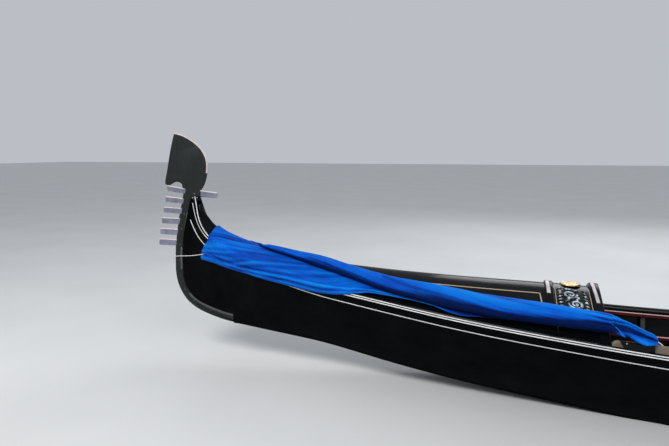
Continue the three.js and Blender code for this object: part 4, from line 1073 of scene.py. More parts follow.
def run_xy(points, step=0.012):
    out = []
    for (x0, y0), (x1, y1) in zip(points[:-1], points[1:]):
        n = max(1, int(math.hypot(x1 - x0, y1 - y0) / step))
        out += [(x0 + (x1 - x0) * k / n, y0 + (y1 - y0) * k / n) for k in range(n)]
    return out + [tuple(points[-1])]


heap = Heap()
for side in (1, -1):
    k = 1 if side > 0 else 0.76
    heap.tube(band(run_xy([(2.728, side * 0.004), (2.726, side * 0.158 * k)], 0.008), BEAM_RAISE, 0.023, 0.0022, lift=FORE_LIFT))
    heap.tube(band(run_xy([(2.458, side * 0.004), (2.446, side * 0.217 * k)], 0.008), BEAM_RAISE, 0.0205, 0.0022, lift=END_LIFT))
    heap.tube(band(run_xy([(-2.890, side * 0.004), (-2.890, side * 0.200 * k)], 0.008), BEAM_RAISE, 0.021, 0.0022))
finish_piece(heap, "beam_strips", strip_pale, angle=40)

heap = Heap()
for side in (1, -1):
    k = 1 if side > 0 else 0.80
    far = 0.30 * k
    heap.tube(band(run_xy([(3.687, side * 0.143 * k), (2.784, side * 0.150 * k)]), 0, 0.0085, 0.0012))
    heap.tube(band(run_xy([(2.780, side * 0.148 * k), (2.776, side * 0.190 * k), (2.768, side * far)]), 0, 0.0080, 0.0012))
    heap.tube(band(run_xy([(3.68, side * 0.147 * k), (3.675, side * 0.30 * k)]), 0, 0.0080, 0.0012))
    for x in (2.6865, 2.4840):
        heap.tube(band(run_xy([(x, side * 0.075), (x, side * 0.36 * k)]), 0.0065, 0.0050, 0.0016))
    heap.tube(band(run_xy([(-3.02, side * 0.10 * k), (-4.15, side * 0.07 * k)]), 0, 0.0080, 0.0012))
    heap.tube(band(run_xy([(-3.024, side * 0.10 * k), (-3.03, side * 0.33 * k)]), 0, 0.0080, 0.0012))
finish_piece(heap, "deck_outline_lines", line_tan, angle=40)

# ------------------------------------------------------------------ carved panel and its boss
PANEL_X0, PANEL_X1, PANEL_RISE = 2.6945, 2.4755, 0.004


def strokes():
    """Scrolls, leaves and beads in (distance from the crest, distance fore of the middle): points with half-width and height."""
    pts = []

    def stroke(path, w, h):
        path = np.asarray(path, float)
        d = np.linalg.norm(np.diff(path, axis=0), axis=1).sum()
        f = resample(path, 0.0016) if d > 0.004 else path
        t = np.linspace(0, 1, len(f))
        pts.append(np.column_stack([f, np.interp(t, np.linspace(0, 1, len(w)), w), np.interp(t, np.linspace(0, 1, len(h)), h)]))

    def volute(ca, cb, r0, turn, turns=1.6, w=0.0105, h=0.0115):
        th = np.linspace(0, turns * 2 * math.pi, 90)
        rad = r0 * (1 - 0.82 * th / th[-1])
        start = -math.pi / 2 * turn
        stroke(np.stack([ca + rad * np.cos(start + turn * th), cb + rad * np.sin(start + turn * th)], 1), (w * 0.8, w, w * 0.6), (h * 0.8, h, h * 0.7))
        stroke([(ca, cb), (ca + 0.0006, cb)], (0.0085, 0.0085), (0.0115, 0.0115))
        for j in range(6):
            q = start + turn * (0.9 + j * 0.86)
            o, e = r0 + 0.008, r0 + 0.036
            leaf = [(ca + (o + (e - o) * k) * math.cos(q + 0.30 * turn * k * k), cb + (o + (e - o) * k) * math.sin(q + 0.30 * turn * k * k)) for k in (0.0, 0.5, 1.0)]
            if max(abs(b) for _, b in leaf) < 0.084:
                stroke(leaf, (0.004, 0.0105, 0.0020), (0.005, 0.0110, 0.0030))

    for ca, cb, r0, turn in ((0.152, 0.014, 0.040, 1), (0.250, -0.012, 0.043, -1)):
        volute(ca, cb, r0, turn)
    # crescent leaf below the boss, small leaves down both edges
    stroke([(0.082, 0.050), (0.092, 0.026), (0.092, 0.000), (0.084, -0.022)], (0.003, 0.0115, 0.0105, 0.003), (0.004, 0.0115, 0.0105, 0.004))
    stroke([(0.108, 0.058), (0.122, 0.064)], (0.008, 0.004), (0.0095, 0.005))
    for k in range(7):
        a = 0.078 + 0.032 * k
        for s, lag in ((1, 0.0), (-1, 0.014)):
            stroke([(a + lag, s * 0.060), (a + lag + 0.006, s * 0.074), (a + lag + 0.018, s * 0.088)], (0.0035, 0.0090, 0.0025), (0.005, 0.0105, 0.004))
    for side in (1, -1):
        stroke([(0.0, side * 0.1010), (0.325, side * 0.1010), (0.333, side * 0.094), (0.335, side * 0.086), (0.335, 0.0)], (0.0045, 0.0045), (0.0050, 0.0050))
    return np.concatenate(pts)


def carved(a, b, marks):
    """Height of the carving at points (a, b)."""
    a, b = np.asarray(a).ravel(), np.asarray(b).ravel()
    h = np.zeros(len(a))
    for k in range(0, len(a), 4000):
        d2 = (a[k:k + 4000, None] - marks[None, :, 0]) ** 2 + (b[k:k + 4000, None] - marks[None, :, 1]) ** 2
        h[k:k + 4000] = (marks[None, :, 3] * np.sqrt(np.clip(1 - d2 / marks[None, :, 2] ** 2, 0, 1))).max(1)
    return h


marks = strokes()
nx, nu = 92, 321
xs = np.linspace(PANEL_X0, PANEL_X1, nx)
us = np.linspace(-0.995, 0.995, nu)
base = deck(place_of(xs), us, 0.0)
mid_row = base[nx // 2]
arc = np.concatenate([[0], np.cumsum(np.linalg.norm(np.diff(mid_row, axis=0), axis=1))])
arc = np.abs(arc - arc[nu // 2])
A, B = np.meshgrid(arc, xs - (PANEL_X0 + PANEL_X1) / 2)
relief = carved(A, B, marks).reshape(nx, nu)
edge = np.clip(np.minimum((PANEL_X0 - xs)[:, None], (xs - PANEL_X1)[:, None]) / 0.002, 0, 1)
relief = (-0.0012 + relief) * edge + 0.001 * (1 - edge)
relief[:, 0] = relief[:, -1] = 0.0
up = up_of(place_of(xs))
gy, gx = np.gradient(base[:, :, 1], axis=1), np.gradient(base[:, :, 2], axis=1)
ln = np.hypot(gy, gx)
n_y, n_z = -gx / ln, gy / ln
top = base.copy()
top[:, :, 1] += relief * n_y
top[:, :, 2] += PANEL_RISE - 0.001 + relief * n_z
heap = Heap()
v = top.reshape(-1, 3)
f = []
for i in range(nx - 1):
    for j in range(nu - 1):
        k = i * nu + j
        f.append((k, k + 1, k + nu + 1, k + nu))
heap.add(v, f)
# tone follows the carving's height, for the painted highlight on its crests
heap.tone[-1] = np.clip(0.5 + 0.5 * (relief - 0.003) / 0.0085, 0, 1).ravel()
low = base[[0, -1]].copy()
low[:, :, 2] -= 0.008
c = heap.n
heap.v.append(low.reshape(-1, 3))
heap.tone.append(np.full(2 * nu, 0.5))
heap.n += 2 * nu
for j in range(nu - 1):
    heap.f.append([j, c + j, c + j + 1, j + 1])
    t0 = (nx - 1) * nu
    heap.f.append([t0 + j + 1, c + nu + j + 1, c + nu + j, t0 + j])
    heap.f.append([c + j, c + nu + j, c + nu + j + 1, c + j + 1])
heap.f.append([i * nu for i in range(nx)] + [c + nu, c])
heap.f.append([i * nu + nu - 1 for i in range(nx - 1, -1, -1)] + [c + nu - 1, c + 2 * nu - 1])
crest = ridgeAt(2.585) + 0.004
heap.turned([(0.064, -0.020), (0.064, -0.0010), (0.0655, 0.0002), (0.0645, 0.0014), (0.0615, 0.0018), (0.0612, 0.0026), (0.0590, 0.0029), (0.001, 0.0029)], (2.585, 0, crest), steps=72)
finish_piece(heap, "carved_deck_relief", carve_black, replaces=["carved_deck_panel"], angle=55)

# gilt medallion: moulded rim, beads, sixteen petals round a button
nr, nt, R0 = 34, 160, 0.0545
rr = np.linspace(0.0004, R0, nr)
tt = np.linspace(0, 2 * math.pi, nt, endpoint=False)
RR, TT = np.meshgrid(rr, tt, indexing="ij")
petal = np.abs(np.cos(8 * TT)) ** 0.6
h = 0.0022 + 0.0019 * petal * np.clip(1 - ((RR - 0.026) / 0.0145) ** 2, 0, 1) ** 0.5
h = np.where(RR < 0.011, 0.0028 + 0.0024 * np.sqrt(np.clip(1 - (RR / 0.011) ** 2, 0, 1)), h)
h = np.where((RR > 0.0415) & (RR < 0.0455), 0.0030 + 0.0018 * np.abs(np.cos(20 * TT)) * np.clip(1 - ((RR - 0.0435) / 0.002) ** 2, 0, 1) ** 0.5, h)
h = np.where(RR >= 0.0465, 0.0022 + 0.0032 * np.sqrt(np.clip(1 - ((RR - 0.0505) / 0.0042) ** 2, 0, 1)), h)
rings = [np.stack([2.585 + RR[k] * np.cos(TT[k]), RR[k] * np.sin(TT[k]), crest + 0.0036 + h[k]], 1) for k in range(nr)]
rings.append(np.stack([2.585 + (R0 + 0.0008) * np.cos(tt), (R0 + 0.0008) * np.sin(tt), np.full(nt, crest + 0.0034)], 1))
finish_piece(Heap().tube(rings), "gilt_medallion", gilt, replaces=["deck_medallion"], angle=45)

# ------------------------------------------------------------------ furled cover over the bow
def over(s, w):
    """What the cover lies on, at places s and shares w: within 1 over the deck, beyond that 250 mm down the side for each 1."""
    s, w = np.broadcast_arrays(np.asarray(s, float), np.asarray(w, float))
    shape = s.shape
    s, w = s.ravel(), w.ravel()
    r, up = rib(s), up_of(s)
    side, q = np.where(w < 0, -1.0, 1.0), np.abs(w)
    b = np.where(side > 0, r[:, 1], r[:, 2])
    c = crown(np.minimum(q, 1.0))
    ex, ez = r[:, 0] - 0.002 * up[:, 0], r[:, 3] - 0.002 * up[:, 1]
    x = r[:, 8] + (ex - r[:, 8]) * c
    z = r[:, 9] + (ez - r[:, 9]) * c
    k = np.clip((q - 0.9) * 10, 0, 1)
    top = np.stack([x + (r[:, 0] - x) * k, np.sign(w) * np.minimum(q, 1) * (b + RAIL_OUT), z + (r[:, 3] - z) * k], 1)
    v = np.clip(1 - (q - 1) * 0.25 / (r[:, 3] - r[:, 7]), 0.05, 1.0)
    cy = np.where(side > 0, r[:, 5], r[:, 6])
    T, L = np.stack([r[:, 0], b, r[:, 3]], 1), np.stack([r[:, 4], cy, r[:, 7]], 1)
    low = L + (T - L) * v[:, None]
    low[:, 1] += 0.24 * v * (1 - v) * (b - cy)
    soft = smooth_place(girth_of(s))
    t = np.clip((soft - FIRST) / (0.0 - FIRST), 0, 1)
    line, e = _stem(v), RIBS[0]
    eT, eL = _stem([1.0])[0], np.array([e[4], e[7]])
    chord = eL + (eT - eL) * v[:, None]
    wt = t ** 1.6
    low[:, 0] += wt * (line - chord)[:, 0] + np.clip((t - 0.8) / 0.2, 0, 1) ** 2 * v * (eT[0] - e[0])
    low[:, 2] += wt * (line - chord)[:, 1]
    low[:, 1] = side * (low[:, 1] + RAIL_OUT)
    return np.where((q > 1)[:, None], low, top).reshape(shape + (3,))


def facing(s, w, e=0.02):
    """Outward direction of what the cover lies on."""
    a = over(s, np.asarray(w) + e) - over(s, np.asarray(w) - e)
    b = over(np.asarray(s) + e, w) - over(np.asarray(s) - e, w)
    n = np.cross(a, b)
    n /= np.linalg.norm(n, axis=-1)[..., None]
    ref = np.stack([0 * n[..., 0], np.clip(np.asarray(w), -1.5, 1.5) + 0 * n[..., 0], np.ones(n.shape[:-1])], -1)
    return n * np.sign((n * ref).sum(-1))[..., None]


GRAIN = rng.random((64, 64))


def lumps(x, y):
    """Smooth value noise, -1 to 1."""
    x, y = np.asarray(x, float), np.asarray(y, float)
    i, j = np.floor(x).astype(int), np.floor(y).astype(int)
    fx, fy = x - i, y - j
    fx, fy = fx * fx * (3 - 2 * fx), fy * fy * (3 - 2 * fy)
    g = lambda a, b: GRAIN[a % 64, b % 64]
    return 2 * ((g(i, j) * (1 - fx) + g(i + 1, j) * fx) * (1 - fy) + (g(i, j + 1) * (1 - fx) + g(i + 1, j + 1) * fx) * fy) - 1


def bell(d, w):
    return np.exp(-(d / w) ** 2)


def table(rows, at, col=1):
    rows = np.asarray(rows, float)
    order = np.argsort(rows[:, 0])
    rows = rows[order]
    return monotone(rows[:, 0], rows[:, col])(at) if len(rows) > 2 else np.interp(at, rows[:, 0], rows[:, col])


COVER_WIDE = 0.74
# edge of the cover to port: place along, share across
PORT_HEM = [(4.24, 1.862), (4.6, 1.764), (5.0, 1.676), (5.9, 1.584), (6.72, 1.446), (7.6, 1.363), (8.2, 1.31), (8.72, 1.26), (9.44, 1.168), (10.08, 1.02),
            (10.6, 0.885), (11.12, 0.86), (11.68, 0.85), (12.24, 0.87), (12.64, 0.915), (12.96, 0.935), (13.44, 0.905), (13.88, 0.88), (15, 0.85), (16, 0.84), (17, 0.83), (18, 0.82)]
# how far forward of its place the front edge lies: share across, sections
FRONT = [(0, 0), (0.54, 0.0), (1.12, 0.16), (1.30, 0.62), (1.48, 1.00), (1.68, 1.36), (1.88, 1.46)]
# where the rolled part lies before it reaches the crest: place, share across, radius
ROLL_FORE = [(4.24, -1.45, 0.005), (4.8, -1.32, 0.005), (5.4, -1.14, 0.006), (6.0, -0.90, 0.005), (6.45, -0.58, 0.006)]
# and after that: x, y, z, radius
ROLL = np.array([
    (4.745, .016, .870, .010), (4.700, .030, .870, .017), (4.650, .044, .865, .022), (4.549, .060, .848, .026), (4.450, .080, .832, .030), (4.341, .102, .814, .037),
    (4.176, .148, .788, .044), (4.018, .200, .760, .045), (3.868, .254, .734, .048), (3.681, .312, .704, .053), (3.493, .350, .689, .060), (3.313, .384, .674, .064),
    (3.142, .408, .656, .063), (3.018, .422, .644, .062), (2.796, .440, .635, .060), (2.659, .448, .627, .058), (2.530, .448, .616, .054), (2.434, .447, .609, .049),
    (2.359, .461, .595, .043), (2.301, .491, .586, .039), (2.250, .524, .574, .033), (2.212, .538, .567, .024), (2.200, .541, .563, .016)])

fore = []
for s, w, r in ROLL_FORE:
    p, n = over(s, w), facing(s, w)
    fore.append([girth_of(s), *(p + n * (r + 0.007)), r])
rows = []
for x, y, z, r in ROLL:
    g = girth_of(place_of(x)) if x > 2.42 else girth_of(18.0) + (2.42 - x) * 1.08
    rows.append([g, x, y, z, r])
LINE = np.array(fore + rows)
roll_line = spline(LINE[:, 0], LINE[:, 1:])
G0, G1, G2 = girth_of(4.24), girth_of(18.0), LINE[-1, 0]
stations = np.concatenate([np.linspace(G0, G1, 268), np.linspace(G1, G2, 44)[1:]])
N_SHEET, N_ROLL = 46, 96
cloth, tones, flat_len = [], [], []
seams, hem_edge, push = ([], []), [], np.zeros(3)
for g in stations:
    s = float(np.interp(g, GIRTH, np.arange(NR))) if g <= G1 else 18.0
    c = roll_line([g])[0]
    centre, r = c[:3].copy(), c[3]
    tail = max(0.0, g - G1)
    x = centre[0]
    lean = np.clip((6.5 - s) / (6.5 - 4.24), 0, 1) ** 1.5
    wh = float(table(PORT_HEM, s))
    # contact: the nearest place under the roll
    ws = np.linspace(-1.5, min(1.1, wh - 0.01), 160)
    if tail == 0:
        sup = over(np.full(160, s), ws)
        d = np.linalg.norm(sup - centre, axis=1)
        fine_w = np.clip(ws[np.argmin(d)] + np.linspace(-0.018, 0.018, 61), -1.5, ws[-1])
        wc = fine_w[np.argmin(np.linalg.norm(over(np.full(61, s), fine_w) - centre, axis=1))]
        at0, out0 = over(s, wc), facing(s, wc)
        push = out0 * max(0.0, r + 0.005 - (centre - at0) @ out0)
        centre = centre + push
    else:
        wc = table(PORT_HEM, 18.0) - 0.04
        centre = centre + push * max(0.0, 1 - tail / 0.12)
    w = np.linspace(wh, wc, 400)
    shift = lean * table(FRONT, np.abs(w))
    sheet = over(s - shift, w)
    n = facing(s - shift, w)
    lift = np.interp(np.arange(400) / 399.0, [0, 0.04, 0.25, 0.8, 1], [0.0062, 0.0070, 0.0095, 0.0095, 0.005])
    lift = lift + 0.0065 * bell(x - 4.16, 0.13) * np.clip(np.arange(400) / 20.0, 0, 1) * np.clip((399 - np.arange(400)) / 120.0, 0, 1)
    sheet = sheet + n * lift[:, None]
    if tail > 0:
        # past the deck the cloth is drawn together towards the tie
        k = np.clip(tail / 0.10, 0, 1)
        start = over(18.0, w) + facing(18.0, w) * 0.006
        end = centre[None, :] + np.array([0.0, 0.35 * r, -0.90 * r])[None, :] * np.ones((400, 1))
        sheet = start + (end - start) * (k * k * (3 - 2 * k))
        sheet[:, 0] = x
        n = np.tile([0.0, 0.3, 0.95], (400, 1))
    else:
        # the cloth spans the corner at the gunwale instead of folding round it
        for _ in range(26):
            sheet[1:-1] += 0.5 * (0.5 * (sheet[:-2] + sheet[2:]) - sheet[1:-1])
    seg = np.concatenate([[0], np.cumsum(np.linalg.norm(np.diff(sheet, axis=0), axis=1))])
    at = np.linspace(0, 1, N_SHEET) ** 0.85 * seg[-1]
    a = at.copy()
    P = np.stack([np.interp(at, seg, sheet[:, k]) for k in range(3)], 1)
    Nn = np.stack([np.interp(at, seg, n[:, k]) for k in range(3)], 1)
    flow = max(0.0, 1 - tail / 0.05)
    # folds of the sheet
    a1 = np.interp(x, [3.5, 3.70, 3.88, 4.03, 4.14, 4.45, 4.6, 4.72, 4.85, 5.05, 5.2], [0.006, 0.014, 0.030, 0.058, 0.066, 0.066, 0.055, 0.040, 0.033, 0.027, 0.026])
    thick = np.interp(x, [3.5, 3.8, 4.2, 5.2], [0.0025, 0.005, 0.0075, 0.0060])
    dsp = thick * bell(a - a1, 0.0085) + 0.55 * thick * bell(a - 0.33 * a1, 0.006) - 0.55 * thick * bell(a - 0.64 * a1, 0.007)
    dsp -= np.interp(x, [4.2, 4.5, 4.9, 5.15], [0.0, 0.0045, 0.0055, 0.002]) * bell(a - a1 - 0.019, 0.008)
    dsp += 0.0028 * bell(a - 0.003, 0.0035)
    for x0, a0, x1, a2, amp in ((5.17, 0.055, 5.00, 0.088, 0.0050), (5.20, 0.040, 4.90, 0.066, 0.0055), (5.12, 0.075, 4.86, 0.120, 0.0040), (5.05, 0.100, 4.70, 0.160, 0.0030), (4.62, 0.092, 4.30, 0.110, 0.0035), (5.10, 0.150, 4.75, 0.215, 0.0022)):
        if x1 < x < x0:
            t = (x0 - x) / (x0 - x1)
            dsp -= amp * math.sin(math.pi * t) ** 0.7 * bell(a - (a0 + (a2 - a0) * t), 0.0065 + 0.004 * t)
            dsp += 0.5 * amp * math.sin(math.pi * t) ** 0.7 * bell(a - (a0 + (a2 - a0) * t) - 0.014, 0.007 + 0.004 * t)
    span = max(seg[-1], 0.02)
    soft = np.clip(a / 0.03, 0, 1) * np.clip((span - a) / 0.03, 0, 1)
    dsp += soft * np.interp(x, [4.8, 5.0], [0.0022, 0.0034]) * lumps(x * 3.1 + 3.0, (a + 0.30 * x) * 26)
    dsp += soft * 0.0009 * lumps(x * 7.0 + 11.0, (a + 0.22 * x) * 62)
    dsp += soft * 0.0005 * lumps(x * 16.0 + 5.0, (a - 0.15 * x) * 120)
    dsp *= flow
    P = P + Nn * dsp[:, None]
    # the roll: from the contact point under it, up its starboard side, over, down to port and in
    contact = P[-1]
    e2 = centre - contact
    R0 = np.linalg.norm(e2)
    e2 = e2 / R0
    tw = P[-1] - P[-4]
    if tail > 0:
        tw = np.array([0.0, -1.0, 0.0])
    e1 = tw - (tw @ e2) * e2
    e1 /= np.linalg.norm(e1)
    rest = COVER_WIDE - seg[-1]
    turns = np.clip(rest / (2 * math.pi * r), 1.05, 2.1 - 0.35 * min(1.0, tail / 0.12))
    phi = np.linspace(0, 1, N_ROLL + 1)[1:] ** 1.0 * turns * 2 * math.pi
    delta = min(0.009, 0.30 * r)
    R = r + 0.7 * delta - delta * phi / (2 * math.pi) + (R0 - r - 0.7 * delta) * np.exp(-phi / 0.45)
    fade = np.clip(phi / 0.8, 0, 1)
    px = x
    bump = 0.060 * r * lumps(px * 2.3, phi * 1.3 + 7) + 0.035 * r * lumps(px * 5.5 + 0.8 * phi, phi * 2.6 + 20)
    # long soft twist of the roll
    twist = phi - 2.35 * (3.72 - px)
    bump += 0.030 * r * np.sin(3 * twist + 0.6) * np.clip((4.4 - px) / 0.4, 0, 1)
    bump -= 0.055 * r * np.abs(np.sin(1.5 * twist)) ** 8
    fine = 0.0011 * lumps(px * 9 + phi * 1.5, phi * 6 + px * 12) + 0.0007 * lumps(px * 22, phi * 11 + 30 + px * 22)
    # double seam that winds round the roll, top at x 3.70, under it at x 2.95
    line = math.radians(187) + (3.72 - px) * math.radians(150)
    # pleats gathered towards the tie: angle and height of each
    pull = np.clip((2.60 - px) / 0.22, 0, 1) ** 1.3
    ph = np.degrees(phi) - 55 * (2.40 - px) * (px < 2.9)
    gath = np.zeros(len(phi))
    for at_deg, tall, broad in ((96, 0.10, 11), (126, 0.20, 12), (158, 0.24, 12), (193, 0.26, 13), (228, 0.25, 12), (300, 0.14, 16), (345, 0.10, 14)):
        gath += tall * r * bell(ph - at_deg, broad)
    for at_deg, deep, broad in ((111, 0.16, 7), (142, 0.20, 7), (176, 0.22, 8), (211, 0.24, 8), (250, 0.20, 12)):
        gath -= deep * r * bell(ph - at_deg - 3 * math.sin(px * 30 + at_deg), broad)
    gath += 0.05 * r * lumps(px * 20, phi * 5) - 0.15 * r
    # end of the outer lap, falling aft across the port face: the inner laps show behind it
    lap = math.radians(233) + (2.424 - px) * math.radians(1180)
    ahead = (phi - lap) * r
    open_x = np.clip((2.440 - px) / 0.045, 0, 1) * np.clip((px - 2.262) / 0.05, 0, 1)
    bare = open_x / (1 + np.exp(np.clip((ahead + 0.001) / 0.0022, -30, 30))) / (1 + np.exp(np.clip(-(np.degrees(phi) - 226) / 5, -30, 30)))
    under = -0.34 * r * bare
    bead = 0.0042 * bell(ahead - 0.0035, 0.0042) * np.clip((2.44 - px) / 0.02, 0, 1) * np.clip((px - 2.33) / 0.02, 0, 1)
    lobe = (0.044 * bell(np.degrees(phi) - 313, 22) - 0.32 * r * bell(np.degrees(phi) - 268, 11)) * bell(px - 2.297, 0.068)
    # painted highlight where the lobe hangs, kept out of the painted shade underneath; painted shade in the recess
    # behind it
    lobe_highlight = bell(np.degrees(phi) - 303, 27) * bell(px - 2.297, 0.068)
    hollow_shade = bell(np.degrees(phi) - 264, 12) * bell(px - 2.292, 0.058)
    relief = (bump + fine) * fade + pull * gath * fade + under + bead + lobe
    # painted shade on the roll's underside, through the tone
    below = np.clip((np.degrees(phi) - 226 - 9 * lumps(px * 2.1 + 5, 0.0 * phi) - 5 * lumps(px * 6.3, phi * 1.5)) / 46, 0, 1) * np.clip((x - 2.35) / 0.1, 0, 1) * np.clip((4.5 - x) / 0.9, 0.6, 1)
    R = np.maximum(R + relief, 0.003)
    Q = centre + R[:, None] * (-np.cos(phi)[:, None] * e2 + np.sin(phi)[:, None] * e1)
    spot = lambda a, up=0.0: centre + (np.interp(a, phi, R) + up) * (-math.cos(a) * e2 + math.sin(a) * e1)
    if 2.90 < px < 3.78:
        for k, off in enumerate((-0.0050, 0.0050)):
            seams[k].append(spot(line + off / r, 0.0004))
    if 2.352 < px < 2.430:
        hem_edge.append(spot(lap + 0.0015 / r, 0.0008))
    row = np.concatenate([P, Q])
    cloth.append(row)
    # tone, that is painted light: on the sheet, painted shade in the crease at the roll and under the roll aft, the
    # folds lighter on their ridges and darker between them; on the roll, lighter with its relief and on its top,
    # painted shade underneath; random streaks besides
    streak = 0.26 * lumps(x * 2.2 + 7, (a + 0.32 * x) * 75) + 0.18 * lumps(x * 4.5 + 2, (a + 0.25 * x) * 150)
    tn = np.concatenate([0.5 + soft * streak * np.clip((x - 4.0) / 0.7, 0.2, 1) - 0.45 * bell(span - a, 0.022) * flow + dsp / 0.011 - 1.0 * np.clip((3.48 - x) / 0.38, 0, 1), 0.5 + (relief - lobe - 0.4 * bump + 0.24 * r * bare) / max(0.010, 0.2 * r) + 0.36 * bell(np.degrees(phi) - 178, 38) * np.clip((3.75 - px) / 0.5, 0, 1) + 0.16 * lumps(px * 2.0 + 3, phi * 5 + px * 6) + 0.10 * lumps(px * 5.0 + 3, phi * 11 + px * 14) + 0.30 * lobe_highlight - 0.80 * hollow_shade - 0.85 * below * (1 - lobe_highlight)])
    tones.append(np.clip(tn, 0, 1))
    flat_len.append(np.linalg.norm(np.diff(row, axis=0), axis=1).sum())
cloth = np.array(cloth)
rows_n, cols_n = cloth.shape[:2]
f = [(i * cols_n + j, (i + 1) * cols_n + j, (i + 1) * cols_n + j + 1, i * cols_n + j + 1) for i in range(rows_n - 1) for j in range(cols_n - 1)]
heap = Heap().add(cloth.reshape(-1, 3), f)
heap.tone = [np.array(tones).ravel()]
cover = finish_piece(heap, "blue_cover", canvas, replaces=["tarp"], angle=75)
sol = cover.modifiers.new("cloth thickness", "SOLIDIFY")
sol.thickness, sol.offset = 0.0018, 0.0
heap = Heap()
# the seams at tone 0, painted shade in their creases; the lap's edge at tone 1, a painted highlight
for k, pts in enumerate([seams[0], seams[1], hem_edge]):
    pts = resample(pts, 0.006)
    t, n, b = frames_along(pts, np.array([0.0, 0.6, 0.8]))
    a = np.linspace(0, 2 * math.pi, 8, endpoint=False)
    size = 0.0013 if k < 2 else 0.0026
    heap.tube(pts[:, None, :] + size * (np.cos(a)[None, :, None] * n[:, None, :] + np.sin(a)[None, :, None] * b[:, None, :]), tone=0.0 if k < 2 else 1.0)
finish_piece(heap, "cover_seams", canvas, angle=180)

# cords that hold the cover, laid in three strands, and the eyelet they pull on
def laid_cord(path, radius, name, node, pitch=0.016):
    path = resample(path, 0.0022)
    d = np.concatenate([[0], np.cumsum(np.linalg.norm(np.diff(path, axis=0), axis=1))])
    t, n, b = frames_along(path, np.array([0.05, 0.1, 1.0]))
    a = np.linspace(0, 2 * math.pi, 15, endpoint=False)
    rings = []
    for i in range(len(path)):
        q = a - 2 * math.pi * d[i] / pitch
        rr = radius * (0.80 + 0.20 * np.abs(np.cos(1.5 * q)) ** 0.7)
        rings.append(path[i] + rr[:, None] * (np.cos(a)[:, None] * n[i] + np.sin(a)[:, None] * b[i]))
    return finish_piece(Heap().tube(rings), name, cord_white, replaces=[node], angle=60)


EYELET_OUT = {side: np.array([0.30, side * 0.94, 0.12]) / math.hypot(0.30, 0.94, 0.12) for side in (1, -1)}
EYELET = {}
for side in (1, -1):
    q = cloth.reshape(-1, 3)
    near = q[np.argmin(np.linalg.norm(q - np.array([5.205, side * 0.085, 0.801]), axis=1))]
    EYELET[side] = near + 0.0035 * EYELET_OUT[side]
half = [EYELET[1] + 0.003 * EYELET_OUT[1], *(np.array([[5328, 69.5, 786], [5440, 47, 774], [5496, 18, 764], [5507, 0, 762], [5496, -18, 764], [5440, -47, 774], [5328, -69.5, 786]]) / 1000), EYELET[-1] + 0.003 * EYELET_OUT[-1]]
BOW_TIE = np.array(half)
AFT_TIE = np.array([[2201, 542, 566], [2187, 544, 556], [2173, 545, 546]]) / 1000
laid_cord(BOW_TIE, 0.0029, "bow_tie_cord", "tarp_bow_tie")
laid_cord(AFT_TIE, 0.0029, "aft_tie_cord", "tarp_aft_tie", pitch=0.010)
heap = Heap()
for side in (1, -1):
    c, n = EYELET[side], EYELET_OUT[side]
    e1 = np.cross(n, [0, 0, 1.0])
    e1 /= np.linalg.norm(e1)
    e2 = np.cross(n, e1)
    th = np.linspace(0, 2 * math.pi, 28, endpoint=False)
    ps = np.linspace(0, 2 * math.pi, 10, endpoint=False)
    rings = []
    for q in th:
        d = math.cos(q) * e1 + math.sin(q) * e2
        rings.append([c + 0.0078 * d + 0.0021 * (math.cos(p) * d + math.sin(p) * n) for p in ps])
    heap.tube(rings, loop=True, caps=False)
finish_piece(heap, "cover_eyelets", bare_iron, angle=60)

# ------------------------------------------------------------------ well: rails, fascia, beads
RAIL_XS = np.concatenate([[2.4195, 2.4185, 2.416, 2.411, 2.404, 2.396, 2.388, 2.378], np.arange(2.36, -2.85, -0.03), [-2.8595]])
COAMING = np.array([[2420, 32], [2150, 41], [1800, 41], [1450, 28], [1100, 8], [700, -2.2], [-2860, -2.2]]) / 1000


def arc(cx, cz, r, a0, a1, k):
    a = np.radians(np.linspace(a0, a1, k))
    return [(cx - r * math.cos(q), cz + r * math.sin(q)) for q in a]


rings = []
for x in RAIL_XS:
    b, z = float(portAt(x)), float(sheerAt(x))
    c = float(table(COAMING, x))
    c = max(c, -0.0022)
    e = np.clip((x - 2.386) / 0.034, 0, 1)
    c = -0.0022 + (c + 0.0022) * math.sqrt(max(0.0, 1 - e ** 2.4))
    r = min(0.0125, 0.45 * (c + 0.003) + 0.0002)
    pr = [(0.0305, -0.0228)] + arc(0.0305 + r, c - r, r, 0, 90, 6) + arc(0.0600 - r, c - r, r, 90, 180, 6) + [(0.0600, -0.0024), (0.0608, -0.0030)] + arc(0.0880, -0.0070, 0.0040, 90, 180, 5) + [(0.0920, -0.0228)]
    rings.append([(x, b - q[0], z + q[1]) for q in pr])
finish_piece(Heap().tube(rings), "port_well_rail", tan_wood, replaces=["port_inner_rail"], angle=40)
rings = []
for x in RAIL_XS:
    b, z = float(starAt(x)), float(sheerAt(x))
    pr = [(0.0305, -0.0228)] + arc(0.0305 + 0.003, -0.0060, 0.003, 0, 90, 4) + arc(0.0860, -0.0090, 0.006, 90, 180, 6) + [(0.0920, -0.0228)]
    rings.append([(x, -(b - q[0]), z + q[1]) for q in pr])
finish_piece(Heap().tube(rings), "starboard_well_rail", rail_black, replaces=["starboard_inner_rail"], angle=40)

